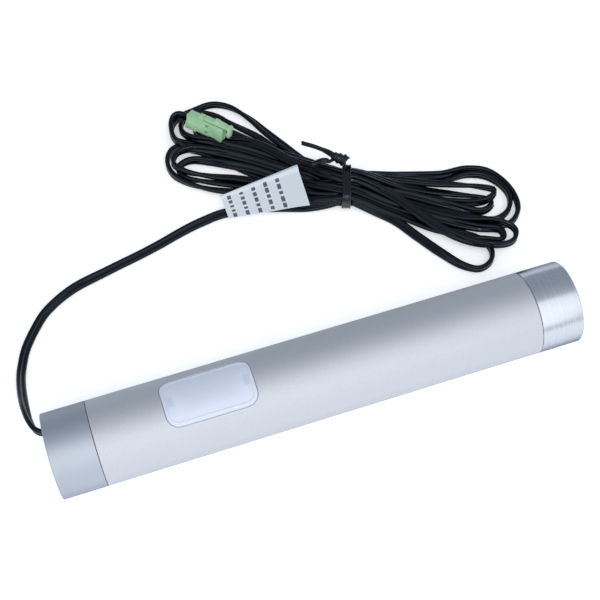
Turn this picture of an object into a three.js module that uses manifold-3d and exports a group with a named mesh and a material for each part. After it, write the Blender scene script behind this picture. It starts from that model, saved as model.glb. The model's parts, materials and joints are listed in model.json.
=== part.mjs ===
// A short round light bar: an aluminium tube with a cap on each end and a frosted window on top,
// an LED board and its driver on a rail inside, and a flat two-core lead with a small connector.
// Millimetres, +Z up. X runs along the bar, the lead leaves the -X end, and the bar lies on z = 0.
import * as THREE from "three";
import { mergeVertices } from "three/addons/utils/BufferGeometryUtils.js";
import Module from "manifold-3d";

const wasm = await Module();
wasm.setup();

// ---- driving dimensions ----
const BAR_LENGTH = 220;
const TUBE_OUTER_R = 17.5;
const TUBE_WALL = 1.5;
const CAP_LENGTH = 18;
const CAP_WALL = 2.5;
const CAP_FACE = 2.5;
const CAP_CHAMFER = 0.6;
const SEAM_GAP = 0.45;
const ROUND_STEPS = 48;

const WINDOW_X = -45;
const WINDOW_LENGTH = 37;
const WINDOW_WIDTH = 20.2;
const WINDOW_CORNER_R = 4.8;
const LENS_CLEARANCE = 0.3;
const LENS_RIM = 1.5;
const LENS_RECESS = 0.3;
const LENS_THICKNESS = 1.7;
const LENS_FLANGE = 1.6;
const FLANGE_THICKNESS = 1.2;
const TAB_SIZE = [2.2, 4.2];
const TAB_DROP = 4;
const TAB_INSET = 3.1;

const SPIGOT_WALL = 1.5;
const SPIGOT_IN_TUBE = 9;
const SPIGOT_WEB = 2;
const TONGUE = { length: 14, width: 17, thickness: 2.6 };

const RAIL_DROP = 6;
const RAIL_THICKNESS = 1.5;
const RAIL_SCREW_X_FROM_WEB = [4, 10];
const RAIL_SCREW_Y = -6.5;

const SCREW_R = 1.1;
const SCREW_HEAD_R = 2.2;
const SCREW_HEAD_H = 1.4;
const SCREW_HOLE_R = 1.35;
const SCREW_RECESS_R = 0.6;

const SPREADER_WIDTH = 18.8;
const SPREADER_HEIGHT = 6.4;
const SPREADER_OVERHANG = 1.5;
const PAD_THICKNESS = 0.5;
const LED_BOARD_THICKNESS = 1.0;
const LED_SIZE = [3.5, 2.8, 0.75];
const LED_PITCH = [7, 6.4];
const LED_SCREW_INSET = 3.1;
const BOX_WALL = 1.2;
const BOX_NARROWER = 1.4;
const BOX_NOTCH = [6.4, 3.6];

const DRIVER_X = 29;
const DRIVER_BOARD = [78, 17, 1.6];
const STANDOFF_HEIGHT = 3;
const STANDOFF_R = 2.6;
const DRIVER_SCREW_OFFSET = 26;
const TERMINAL = [9, 7, 6];
const TERMINAL_Y = 4.6;
const TERMINAL_MOUTH = [4, 1.8, 2.2];
const TERMINAL_MOUTH_RISE = 1.9;
const TERMINAL_POLE_Y = 1.7;
const INDUCTOR = { x: -10, flangeR: 5.2, windingR: 4.2, flange: 1, height: 5 };
const CAPACITOR = { x: 8, radius: 4, length: 12, foot: [1.4, 5, 4], footX: 2.4 };
const CHIP = { size: [5, 4, 1.6], x: 20, y: 4 };
const DIODE = { size: [4.4, 2.6, 2.2], x: 20, y: -3 };

const CORD_WIDTH = 4.4;
const CORD_THICKNESS = 2.2;
const CORD_EXIT_Y = 9.8;
const CORD_EXIT_RISE = 2;
const CORD_SIDES = 8;
const CORD_STEP = 4;
const GROMMET_R = 3.4;
const GROMMET_FLANGE_R = 4.3;
const GROMMET_FLANGE = 1.5;
const GROMMET_INSET = 2;
const CLAMP_FROM_WEB = 8;
const CLAMP_Y = 4;
const CLAMP = [7, 13.6, 4.8];
const CLAMP_SCREW_OFFSET = 4.6;
const WIRE_R = 0.6;
const WIRE_APART_Y = 1.4;

const HANK_BOTTOM_Z = 0;
const HANK_HEIGHT = 8.6;
const WAIST_CENTRE = [45.4, 91.6];
const WAIST_ANGLE = -19.5;
const WAIST_WIDTH = 19.6;
const WAIST_HEIGHT = 7.5;
const TIE_WIDTH = 4.2;
const TIE_THICKNESS = 0.9;
const TIE_KNOT = [5.4, 6.4, 4.2];
const TIE_KNOT_AT = [-3, 9.6];

const LABEL = [38, 17.5, 0.5];
const LABEL_AT = [8.4, 97.4];
const LABEL_ANGLE = 5;

const PLUG_AT = [-11.4, 150.4, 8.7];
const PLUG_ANGLE = -47.5;
const PLUG_ROLL = 72;
const PLUG = [19.2, 7.2, 4.4];
const PLUG_STEP = [6, 3.4, 0.6];
const LANCE_WINDOW = [1.6, 1.1, 1.4];
const LANCE_X = 10.9;
const CONTACT_PITCH = 3.4;
const CONTACT_SIZE = [7, 1.5, 1.5];
const CONTACT_CAVITY = [9, 2.1, 2.1];
const CONTACT_SET_BACK = 1.6;
const PLUG_MOUTH_DEPTH = 3;
const PLUG_BED = { longer: 14, wider: 6, higher: 2.4, back: 1, aside: 2.2, under: 0.8 };
const LATCH_ROOT = 9;
const LATCH_THICKNESS = 1.1;
const LATCH_HEIGHT = 3;
const LATCH_PAD = [2.6, 0.9, 3];
const LATCH_PAD_X = 15;
const LATCH_REACH = 3.6;
const LATCH_HEAD = [1.5, 5.4];
const LATCH_HEAD_RISE = 0.6;
const LATCH_ROOT_BLOCK = [2.4, 1.6];

// ---- fits between pieces ----
const FIT = 0.3;
const REST = 0.1;

// ---- worked out from the sizes above ----
const END_X = BAR_LENGTH / 2;
const TUBE_END_X = END_X - CAP_LENGTH;
const TUBE_INNER_R = TUBE_OUTER_R - TUBE_WALL;
const CAP_INNER_R = TUBE_OUTER_R - CAP_WALL;
const WEB_X = TUBE_END_X - SPIGOT_WEB;
const SPIGOT_BORE_R = CAP_INNER_R - FIT / 2 - SPIGOT_WALL;
const RAIL_TOP_Z = TUBE_OUTER_R - RAIL_DROP;
const RAIL_LENGTH = 2 * (WEB_X - FIT);
const RAIL_WIDTH = 2 * (Math.sqrt(SPIGOT_BORE_R ** 2 - (RAIL_DROP + RAIL_THICKNESS) ** 2) - FIT);
const BOX_SIZE = [WINDOW_LENGTH, WINDOW_WIDTH - BOX_NARROWER];
const SPREADER = [BOX_SIZE[0] + 2 * SPREADER_OVERHANG, SPREADER_WIDTH, SPREADER_HEIGHT];
const LED_BOARD = [
  BOX_SIZE[0] - 2 * (BOX_WALL + 2 * FIT), SPREADER_WIDTH - 2 * (BOX_WALL + 2 * FIT),
  LED_BOARD_THICKNESS,
];
const LED_SCREW_OFFSET = LED_BOARD[0] / 2 - LED_SCREW_INSET;
const SPREADER_Z = RAIL_TOP_Z + REST;
const PAD_Z = SPREADER_Z + SPREADER[2] + REST;
const LED_BOARD_Z = PAD_Z + PAD_THICKNESS + REST;
const LED_Z = LED_BOARD_Z + LED_BOARD[2] + REST;
const FLANGE_OUTER_R = TUBE_INNER_R - FIT;
const FLANGE_INNER_R = FLANGE_OUTER_R - FLANGE_THICKNESS;
const BOX_OUTER_R = FLANGE_INNER_R - FIT;
const STANDOFF_Z = RAIL_TOP_Z + REST;
const CORD_EXIT_Z = TUBE_OUTER_R + CORD_EXIT_RISE;
const CLAMP_X = CLAMP_FROM_WEB - WEB_X;
const DRIVER_Z = STANDOFF_Z + STANDOFF_HEIGHT + REST;
const DRIVER_TOP_Z = DRIVER_Z + DRIVER_BOARD[2] + REST;
const CORD_CENTRE_ON_RAIL = RAIL_TOP_Z + CORD_THICKNESS / 2 + FIT;

// Routes of the cords, chosen point by point; each follows on from the fitting that it leaves.
const LEAD_ROUTE = [
  [-107.5, 9.8, 19.5], [-110.4, 9.8, 19.5], [-113.4, 11.8, 19.6], [-115.2, 17, 18.4],
  [-116, 24, 15.4], [-116.4, 32, 10.9], [-116.2, 41, 6], [-115.4, 47.5, 3],
  [-113.7, 53, 1.8], [-111.2, 58.4, 1.4], [-105.7, 66.2, 1.4], [-99.4, 73, 1.4],
  [-86.5, 80.4, 1.4], [-68.3, 85.3, 1.4], [-52.8, 88.8, 1.4], [-43.4, 91.2, 1.4],
  [-33.6, 94.1, 1.5], [-26, 96, 1.9], [-20, 97.1, 2.9], [-13.2, 98, 4.2],
];
const TAIL_ROUTE = [
  [-13.15, 149.21, 9.4], [-15.4, 151.6, 9.6], [-18.4, 152.6, 9.4], [-21.2, 150.4, 8],
  [-22.2, 146.4, 6.4], [-21.6, 142.6, 5.4],
];
// The outer shape of the hank, seen from above, through these points.
const HANK_OUTLINE = [
  [-10.6, 103.5], [-10.4, 93.5], [10, 88.5], [41, 82], [64, 63], [74, 45], [85, 31],
  [101, 37], [116, 51], [119, 66], [107, 83.5], [80, 94], [50.6, 101.6], [33, 115],
  [26, 131], [16, 149], [1, 160], [-11, 157], [-16.6, 147], [-18, 140.5], [-29, 136.5],
  [-29.6, 125], [-21, 113.5],
];

// ---- helpers ----
function toSolid(geometry) {
  const plain = geometry.clone();
  plain.deleteAttribute("normal");
  plain.deleteAttribute("uv");
  const merged = mergeVertices(plain, 1e-4);
  return new wasm.Manifold(new wasm.Mesh({
    numProp: 3,
    vertProperties: merged.attributes.position.array,
    triVerts: new Uint32Array(merged.index.array),
  }));
}

function toGeometry(solid) {
  const mesh = solid.getMesh();
  return new THREE.BufferGeometry()
    .setAttribute("position", new THREE.BufferAttribute(mesh.vertProperties, 3))
    .setIndex(new THREE.BufferAttribute(mesh.triVerts, 1));
}

const cut = (body, ...tools) => tools.reduce((left, tool) => left.subtract(tool), body);
const join = (body, ...others) => others.reduce((sum, other) => sum.add(other), body);

// A box that stands on z, centred on x and y.
function block([length, width, height], x = 0, y = 0, z = 0) {
  return toSolid(new THREE.BoxGeometry(length, width, height).translate(x, y, z + height / 2));
}

// An upright rod that stands on z.
function post(radius, height, x = 0, y = 0, z = 0, sides = 16) {
  const rod = new THREE.CylinderGeometry(radius, radius, height, sides);
  return toSolid(rod.rotateX(Math.PI / 2).translate(x, y, z + height / 2));
}

// A round body about the bar's axis from a closed profile of [x, radius] points.
function turned(profile, steps = ROUND_STEPS) {
  const points = profile.map(([x, r]) => new THREE.Vector2(r, x));
  if (THREE.ShapeUtils.isClockWise(points)) points.reverse();
  points.push(points[0].clone());
  const lathe = new THREE.LatheGeometry(points, steps);
  return toSolid(lathe.rotateZ(-Math.PI / 2).translate(0, 0, TUBE_OUTER_R));
}

// A round rod about the bar's axis, from x0 to x1.
function core(radius, x0, x1) {
  const rod = new THREE.CylinderGeometry(radius, radius, x1 - x0, ROUND_STEPS);
  return toSolid(rod.rotateZ(-Math.PI / 2).translate((x0 + x1) / 2, 0, TUBE_OUTER_R));
}

function roundedOutline(length, width, radius) {
  const [a, b, r] = [length / 2, width / 2, radius];
  const shape = new THREE.Shape();
  shape.moveTo(-a + r, -b);
  shape.lineTo(a - r, -b);
  shape.absarc(a - r, -b + r, r, -Math.PI / 2, 0, false);
  shape.lineTo(a, b - r);
  shape.absarc(a - r, b - r, r, 0, Math.PI / 2, false);
  shape.lineTo(-a + r, b);
  shape.absarc(-a + r, b - r, r, Math.PI / 2, Math.PI, false);
  shape.lineTo(-a, -b + r);
  shape.absarc(-a + r, -b + r, r, Math.PI, 1.5 * Math.PI, false);
  return shape;
}

// A straight prism over the window's outline, grown by `grow`, from z0 to z1.
function windowPrism(grow, z0, z1) {
  const shape = roundedOutline(
    WINDOW_LENGTH + 2 * grow, WINDOW_WIDTH + 2 * grow, WINDOW_CORNER_R + grow);
  const prism = new THREE.ExtrudeGeometry(
    shape, { depth: z1 - z0, bevelEnabled: false, curveSegments: 5 });
  return toSolid(prism.translate(WINDOW_X, 0, z0));
}

// A strip or cord swept along a route; the outline's y runs across it and its x is its thickness.
function swept(route, outline, step) {
  const path = new THREE.CatmullRomCurve3(
    route.map((p) => new THREE.Vector3(...p)), false, "centripetal");
  const steps = Math.max(2, Math.round(path.getLength() / step));
  return new THREE.ExtrudeGeometry(
    new THREE.Shape(outline), { steps, bevelEnabled: false, extrudePath: path });
}

function ovalOutline(width, thickness, sides) {
  return Array.from({ length: sides }, (_, i) => {
    const turn = (2 * Math.PI * (i + 0.5)) / sides;
    const grow = 1 / Math.cos(Math.PI / sides);
    return new THREE.Vector2(
      (grow * thickness * Math.cos(turn)) / 2, (grow * width * Math.sin(turn)) / 2);
  });
}

const stripOutline = (width, thickness) => [[-1, -1], [1, -1], [1, 1], [-1, 1]].map(
  ([x, y]) => new THREE.Vector2((x * thickness) / 2, (y * width) / 2));

const flatCord = (route) => swept(
  route, ovalOutline(CORD_WIDTH, CORD_THICKNESS, CORD_SIDES), CORD_STEP);
const roundWire = (route) => swept(route, ovalOutline(2 * WIRE_R, 2 * WIRE_R, 6), 4);

// A pan-head screw with a round recess, its head's seat at z and its tip `length` below.
function panScrew(length, x, y, z) {
  const shank = post(SCREW_R, length + SCREW_HEAD_H / 2, x, y, z - length, 12);
  const head = post(SCREW_HEAD_R, SCREW_HEAD_H, x, y, z, 16);
  return cut(join(shank, head), post(SCREW_RECESS_R, SCREW_HEAD_H, x, y, z + SCREW_HEAD_H / 2, 6));
}

// ---- materials ----
const finish = (color, roughness, metalness) => new THREE.MeshStandardMaterial(
  { color, roughness, metalness });
const MATERIALS = {
  tube: finish(0xd6dae3, 0.5, 0.6),
  cap: finish(0xb8c2cc, 0.3, 0.95),
  lens: finish(0xdfe6f2, 0.5, 0),
  moulding: finish(0x2b2d31, 0.6, 0),
  rail: finish(0xb9bcc0, 0.5, 0.9),
  screw: finish(0x8f9296, 0.35, 1),
  pad: finish(0xa9b7c9, 0.9, 0),
  white: finish(0xf2f2ee, 0.6, 0),
  board: finish(0x1f5b3a, 0.5, 0),
  led: finish(0xf3e08a, 0.4, 0),
  dark: finish(0x1b1c1f, 0.5, 0),
  cord: finish(0x14141c, 0.4, 0),
  red: finish(0xb02020, 0.5, 0),
  paper: finish(0xc8d0d7, 0.8, 0),
  green: finish(0x96c896, 0.45, 0),
  tin: finish(0xc9cbc8, 0.3, 1),
};

const bar = new THREE.Group();
function add(name, shape, material, parent = bar) {
  const geometry = shape.isBufferGeometry ? shape : toGeometry(shape);
  const mesh = new THREE.Mesh(geometry, MATERIALS[material]);
  mesh.name = name;
  parent.add(mesh);
}

// ---- tube, caps and window ----
function makeTube() {
  const end = TUBE_END_X - SEAM_GAP / 2;
  const shell = turned([[-end, TUBE_INNER_R], [end, TUBE_INNER_R],
    [end, TUBE_OUTER_R], [-end, TUBE_OUTER_R]]);
  return cut(shell, windowPrism(0, TUBE_OUTER_R, 2 * TUBE_OUTER_R + 1));
}

// side is -1 for the cap that the lead leaves and +1 for the other.
function makeCap(side) {
  const open = TUBE_END_X + SEAM_GAP / 2;
  const profile = [
    [side * END_X, 0], [side * END_X, TUBE_OUTER_R - CAP_CHAMFER],
    [side * (END_X - CAP_CHAMFER), TUBE_OUTER_R], [side * open, TUBE_OUTER_R],
    [side * open, CAP_INNER_R], [side * (END_X - CAP_FACE), CAP_INNER_R],
    [side * (END_X - CAP_FACE), 0],
  ];
  return turned(profile);
}

function acrossFace(radius, x0, x1) {
  const rod = new THREE.CylinderGeometry(radius, radius, x1 - x0, 24);
  return toSolid(rod.rotateZ(-Math.PI / 2).translate((x0 + x1) / 2, CORD_EXIT_Y, CORD_EXIT_Z));
}

function cordSlot(x0, x1) {
  const size = [x1 - x0, CORD_WIDTH + 3 * FIT, CORD_THICKNESS + 3 * FIT];
  return block(size, (x0 + x1) / 2, CORD_EXIT_Y, CORD_EXIT_Z - size[2] / 2);
}

function makeGrommet() {
  const faceInside = -END_X + CAP_FACE;
  const body = acrossFace(GROMMET_R, -END_X + REST, faceInside + REST + GROMMET_FLANGE);
  const flange = acrossFace(
    GROMMET_FLANGE_R, faceInside + REST, faceInside + REST + GROMMET_FLANGE);
  return cut(join(body, flange), cordSlot(-END_X - 1, faceInside + REST + GROMMET_FLANGE + 1));
}

// A ring that fills the cap and the tube's end, with a low web and a tongue for the rail.
function makeSpigot(side) {
  const inCap = END_X - CAP_FACE - GROMMET_FLANGE - GROMMET_INSET;
  const capR = CAP_INNER_R - FIT / 2;
  const tubeR = TUBE_INNER_R - FIT / 2;
  const deep = TUBE_END_X - SPIGOT_IN_TUBE;
  const boreR = SPIGOT_BORE_R;
  const shoulder = TUBE_END_X - SEAM_GAP / 2;
  const profile = [
    [side * inCap, boreR], [side * inCap, capR], [side * shoulder, capR],
    [side * shoulder, tubeR], [side * deep, tubeR], [side * deep, boreR],
  ];
  const ring = turned(profile);
  const webX = side * (WEB_X + SPIGOT_WEB / 2);
  const webBlock = block([SPIGOT_WEB, 3 * boreR, RAIL_TOP_Z], webX, 0, 0);
  const web = core(boreR + SPIGOT_WALL / 2, -END_X, END_X).intersect(webBlock);
  const tongueZ = RAIL_TOP_Z - RAIL_THICKNESS - REST - TONGUE.thickness;
  const tongueX = side * (WEB_X - TONGUE.length / 2 + SPIGOT_WEB / 2);
  const tongue = block(
    [TONGUE.length + SPIGOT_WEB, TONGUE.width, TONGUE.thickness], tongueX, 0, tongueZ);
  const holes = railScrewX(side).map(
    (x) => post(SCREW_R + REST, 3 * TONGUE.thickness, x, RAIL_SCREW_Y, tongueZ - 2));
  return cut(join(ring, web, tongue), ...holes);
}

const railScrewX = (side) => RAIL_SCREW_X_FROM_WEB.map((d) => side * (WEB_X - d));

// The lens fills the opening, flush with the tube, with a flange behind the tube's wall.
function makeLens() {
  const top = 2 * TUBE_OUTER_R + 1;
  const pane = windowPrism(-LENS_CLEARANCE, TUBE_OUTER_R, top)
    .intersect(core(TUBE_OUTER_R, -END_X, END_X));
  const flange = windowPrism(LENS_FLANGE, TUBE_OUTER_R, top)
    .intersect(core(FLANGE_OUTER_R, -END_X, END_X));
  const pocket = windowPrism(-LENS_CLEARANCE - LENS_RIM, TUBE_OUTER_R, top)
    .subtract(core(TUBE_OUTER_R - LENS_RECESS, -END_X, END_X));
  const under = windowPrism(-LENS_CLEARANCE - LENS_RIM, 0, top)
    .intersect(core(TUBE_OUTER_R - LENS_RECESS - LENS_THICKNESS, -END_X, END_X));
  const hollow = core(FLANGE_INNER_R, -END_X, END_X);
  const shell = cut(join(pane, flange), hollow, pocket, under);
  const tabX = WINDOW_LENGTH / 2 - TAB_INSET;
  const roof = TUBE_OUTER_R + TUBE_OUTER_R - LENS_RECESS - LENS_THICKNESS;
  const tabs = [-1, 1].map((end) => block(
    [TAB_SIZE[0], TAB_SIZE[1], TAB_DROP], WINDOW_X + end * tabX, 0,
    roof + LENS_THICKNESS / 2 - TAB_DROP));
  return join(shell, ...tabs);
}

// ---- rail, LEDs and light box ----
const ledScrewX = [-1, 1].map((end) => WINDOW_X + end * LED_SCREW_OFFSET);
const driverScrewX = [-1, 1].map((end) => DRIVER_X + end * DRIVER_SCREW_OFFSET);
const clampScrewY = [-1, 1].map((end) => CLAMP_Y + end * CLAMP_SCREW_OFFSET);

function screwHole(x, y, z0, z1) {
  return post(SCREW_HOLE_R, z1 - z0, x, y, z0);
}

function makeRail() {
  const low = RAIL_TOP_Z - RAIL_THICKNESS;
  const places = [
    ...[-1, 1].flatMap((side) => railScrewX(side).map((x) => [x, RAIL_SCREW_Y])),
    ...ledScrewX.map((x) => [x, 0]),
    ...driverScrewX.map((x) => [x, 0]),
    ...clampScrewY.map((y) => [CLAMP_X, y]),
  ];
  const holes = places.map(([x, y]) => screwHole(x, y, low - 1, RAIL_TOP_Z + 1));
  return cut(block([RAIL_LENGTH, RAIL_WIDTH, RAIL_THICKNESS], 0, 0, low), ...holes);
}

function drilled(size, x, z, screwsX) {
  const holes = screwsX.map((hx) => screwHole(hx, 0, z - 1, z + size[2] + 1));
  return cut(block(size, x, 0, z), ...holes);
}

function makeLightBox() {
  const z = SPREADER_Z + SPREADER[2] + REST;
  const height = 2 * TUBE_OUTER_R - z;
  const inner = [BOX_SIZE[0] - 2 * BOX_WALL, BOX_SIZE[1] - 2 * BOX_WALL, height + 2];
  const walls = cut(block([...BOX_SIZE, height], WINDOW_X, 0, z), block(inner, WINDOW_X, 0, z - 1));
  const notch = block(
    [4 * BOX_WALL, BOX_NOTCH[0], BOX_NOTCH[1] + 1], WINDOW_X + BOX_SIZE[0] / 2, 0, z - 1);
  return cut(walls.intersect(core(BOX_OUTER_R, -END_X, END_X)), notch);
}

// ---- driver ----
function makeStandoff(x) {
  return cut(
    post(STANDOFF_R, STANDOFF_HEIGHT, x, 0, STANDOFF_Z),
    screwHole(x, 0, STANDOFF_Z - 1, STANDOFF_Z + STANDOFF_HEIGHT + 1));
}

function makeInductor() {
  const { flangeR, windingR, flange, height } = INDUCTOR;
  const x = DRIVER_X + INDUCTOR.x;
  const bobbin = post(flangeR, flange, x, 0, DRIVER_TOP_Z, 24);
  const winding = post(windingR, height - flange, x, 0, DRIVER_TOP_Z + flange / 2, 24);
  const lid = post(flangeR, flange, x, 0, DRIVER_TOP_Z + height - flange, 24);
  return join(bobbin, winding, lid);
}

function makeCapacitor() {
  const { x, radius, length, foot, footX } = CAPACITOR;
  const can = new THREE.CylinderGeometry(radius, radius, length, 24);
  const lying = toSolid(can.rotateZ(-Math.PI / 2).translate(DRIVER_X + x, 0, DRIVER_TOP_Z + radius));
  return join(lying, block(foot, DRIVER_X + footX, 0, DRIVER_TOP_Z));
}

// A screwless terminal with two wire mouths in its -X side.
function makeTerminal(y) {
  const x = DRIVER_X - DRIVER_BOARD[0] / 2 + TERMINAL[0] / 2 + 1;
  const mouths = [-1, 1].map((side) => block(
    TERMINAL_MOUTH, x - TERMINAL[0] / 2, y + side * TERMINAL_POLE_Y,
    DRIVER_TOP_Z + TERMINAL_MOUTH_RISE));
  return cut(block(TERMINAL, x, y, DRIVER_TOP_Z), ...mouths);
}

const TERMINAL_FACE_X = DRIVER_X - DRIVER_BOARD[0] / 2 + 1;
const TERMINAL_MOUTH_Z = DRIVER_TOP_Z + TERMINAL_MOUTH_RISE + TERMINAL_MOUTH[2] / 2;

// The lead inside the bar: from the grommet, under the clamp, past the heat spreader.
function innerLeadRoute() {
  const beside = (SPREADER[1] + CORD_WIDTH) / 2 + 2 * FIT;
  const z = CORD_CENTRE_ON_RAIL;
  return [
    [-END_X + CAP_FACE + FIT, CORD_EXIT_Y, CORD_EXIT_Z],
    [-END_X + 10, CORD_EXIT_Y - 0.8, CORD_EXIT_Z - 0.7], [-TUBE_END_X, CLAMP_Y + 2, z + 2.6],
    [CLAMP_X - 5, CLAMP_Y, z], [CLAMP_X, CLAMP_Y, z], [CLAMP_X + 4, CLAMP_Y, z],
    [WINDOW_X - SPREADER[0] / 2 - 1.6, beside - 0.2, z + 1.2], [WINDOW_X, beside, z + 1.4],
    [WINDOW_X + SPREADER[0] / 2, beside, z + 2.4], [-18, 9, TERMINAL_MOUTH_Z - 1],
    [TERMINAL_FACE_X - 3, TERMINAL_Y + 0.4, TERMINAL_MOUTH_Z],
    [TERMINAL_FACE_X - FIT, TERMINAL_Y, TERMINAL_MOUTH_Z],
  ];
}

// A wire from the output terminal through the light box's notch onto the LED board.
function ledWireRoute(side) {
  const y = side * WIRE_APART_Y;
  const poleY = side * TERMINAL_POLE_Y - TERMINAL_Y;
  const boardZ = LED_Z + WIRE_R;
  return [
    [TERMINAL_FACE_X - FIT, poleY, TERMINAL_MOUTH_Z],
    [TERMINAL_FACE_X - 5, poleY, TERMINAL_MOUTH_Z],
    [-20, y, boardZ + 0.4], [-25, y, boardZ], [WINDOW_X + LED_BOARD[0] / 2 - 0.8, y, boardZ],
  ];
}

// The clamp bridges the lead: a block with a channel under it and a screw each side.
function makeClamp() {
  const channel = block(
    [2 * CLAMP[0], CORD_WIDTH + 4 * FIT, CORD_THICKNESS + 3 * FIT],
    CLAMP_X, CLAMP_Y, RAIL_TOP_Z);
  const holes = clampScrewY.map(
    (y) => screwHole(CLAMP_X, y, RAIL_TOP_Z - 1, RAIL_TOP_Z + CLAMP[2] + 1));
  return cut(block(CLAMP, CLAMP_X, CLAMP_Y, RAIL_TOP_Z + REST), channel, ...holes);
}

// ---- hank, tie and label ----
const waist = new THREE.Group();
waist.position.set(...WAIST_CENTRE, 0);
waist.rotation.z = THREE.MathUtils.degToRad(WAIST_ANGLE);
bar.add(waist);

const TIE_OUTER = [WAIST_WIDTH + 2 * (FIT + TIE_THICKNESS), WAIST_HEIGHT + 2 * (FIT + TIE_THICKNESS)];

function makeHank() {
  const outline = new THREE.Shape();
  outline.moveTo(...HANK_OUTLINE[0]);
  outline.splineThru([...HANK_OUTLINE.slice(1), HANK_OUTLINE[0]].map(
    (p) => new THREE.Vector2(...p)));
  const body = toSolid(new THREE.ExtrudeGeometry(
    outline, { depth: HANK_HEIGHT, bevelEnabled: false, curveSegments: 3 })
    .translate(0, 0, HANK_BOTTOM_Z));
  const span = TIE_WIDTH + 4 * FIT;
  const around = block([span, 3 * WAIST_WIDTH, 3 * HANK_HEIGHT], 0, 0, -HANK_HEIGHT);
  const neck = block(
    [2 * span, WAIST_WIDTH, WAIST_HEIGHT], 0, 0, TIE_THICKNESS + FIT);
  const groove = around.subtract(neck);
  const [plugLength, plugWidth, plugHeight] = PLUG;
  const { longer, wider, higher, back, aside, under } = PLUG_BED;
  const bed = block([plugLength + longer, plugWidth + wider, plugHeight + higher],
    plugLength / 2 - back, aside, -under).transform(plug.matrix.elements);
  return cut(body, bed, groove
    .rotate(0, 0, WAIST_ANGLE)
    .translate(WAIST_CENTRE[0], WAIST_CENTRE[1], 0));
}

// In the waist's own frame: a band round the neck, a knot on top and two tails.
function makeTie() {
  const band = block([TIE_WIDTH, TIE_OUTER[0], TIE_OUTER[1]]);
  const inside = block(
    [2 * TIE_WIDTH, WAIST_WIDTH + 2 * FIT, WAIST_HEIGHT + 2 * FIT], 0, 0, TIE_THICKNESS);
  const knotZ = TIE_OUTER[1] - TIE_THICKNESS / 2;
  const [kx, ky] = TIE_KNOT_AT;
  const knot = block(TIE_KNOT, kx, ky, knotZ);
  const mid = knotZ + TIE_KNOT[2] / 2;
  const strip = stripOutline(TIE_WIDTH - 0.6, TIE_THICKNESS);
  const straight = toSolid(swept(
    [[kx, ky, mid], [kx - 7, ky + 4, mid + 0.6], [kx - 18, ky + 9.6, mid + 0.4]], strip, 4));
  const bent = toSolid(swept(
    [[kx, ky, mid], [kx - 6, ky + 1.2, mid + 0.1], [kx - 11.4, ky - 0.4, mid - 0.3]], strip, 2.5));
  return join(cut(band, inside), knot, straight, bent);
}

const label = new THREE.Group();
label.position.set(...LABEL_AT, HANK_BOTTOM_Z + HANK_HEIGHT + FIT);
label.rotation.z = THREE.MathUtils.degToRad(LABEL_ANGLE);
bar.add(label);

// ---- connector, in its own frame: x from the cord end to the open end, y towards the latch ----
const plug = new THREE.Group();
plug.position.set(...PLUG_AT);
plug.rotation.set(
  THREE.MathUtils.degToRad(PLUG_ROLL), 0, THREE.MathUtils.degToRad(PLUG_ANGLE), "ZYX");
plug.updateMatrix();
bar.add(plug);

const contactY = [-1, 1].map((side) => (side * CONTACT_PITCH) / 2);

function makePlugHousing() {
  const [length, width, height] = PLUG;
  const cavities = contactY.map((y) => block(
    CONTACT_CAVITY, length - CONTACT_CAVITY[0] / 2 + 0.01, y, (height - CONTACT_CAVITY[2]) / 2));
  const cordMouth = block([PLUG_MOUTH_DEPTH, CORD_WIDTH + 2 * FIT, CORD_THICKNESS + 2 * FIT],
    PLUG_MOUTH_DEPTH / 2 - 0.01, 0, (height - CORD_THICKNESS) / 2 - FIT);
  const windows = contactY.map((y) => block(
    LANCE_WINDOW, LANCE_X, y, height - LANCE_WINDOW[2] + 0.01));
  const step = block(PLUG_STEP, PLUG_STEP[0] / 2, (PLUG_STEP[1] - width) / 2, height - 0.01);
  const rootBlock = block([...LATCH_ROOT_BLOCK, LATCH_HEIGHT], LATCH_ROOT - 2, width / 2 + 0.5,
    (height - LATCH_HEIGHT) / 2);
  return cut(join(block(PLUG, length / 2), step, rootBlock), cordMouth, ...cavities, ...windows);
}

// The latch arm runs forward beside the body and hooks over what the connector mates with.
function makeLatch() {
  const z = (PLUG[2] - LATCH_HEIGHT) / 2;
  const y0 = PLUG[1] / 2 + FIT;
  const from = LATCH_ROOT - 0.5;
  const to = PLUG[0] + LATCH_REACH;
  const arm = block([to - from, LATCH_THICKNESS, LATCH_HEIGHT], (from + to) / 2,
    y0 + LATCH_THICKNESS / 2, z);
  const head = block([LATCH_HEAD[0], LATCH_HEAD[1], LATCH_HEIGHT], to - LATCH_HEAD[0] / 2,
    y0 + LATCH_THICKNESS - LATCH_HEAD[1] / 2 + LATCH_HEAD_RISE, z);
  const pad = block(LATCH_PAD, LATCH_PAD_X,
    y0 + LATCH_THICKNESS + LATCH_PAD[1] / 2 - 0.01, (PLUG[2] - LATCH_PAD[2]) / 2);
  return join(arm, head, pad);
}

// ---- assembly ----
add("tube_housing", makeTube(), "tube");
add("end_cap_left", cut(makeCap(-1), acrossFace(GROMMET_R + FIT / 2, -END_X - 1, -END_X + 2 * CAP_FACE)),
  "cap");
add("end_cap_right", makeCap(1), "cap");
add("cap_spigot_left", makeSpigot(-1), "moulding");
add("cap_spigot_right", makeSpigot(1), "moulding");
add("window_lens", makeLens(), "lens");
add("chassis_rail", makeRail(), "rail");
[-1, 1].forEach((side) => railScrewX(side).forEach((x, i) => add(
  `rail_screw_${side < 0 ? "left" : "right"}_${i + 1}`,
  panScrew(RAIL_THICKNESS + TONGUE.thickness, x, RAIL_SCREW_Y, RAIL_TOP_Z + REST), "screw")));

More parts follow.
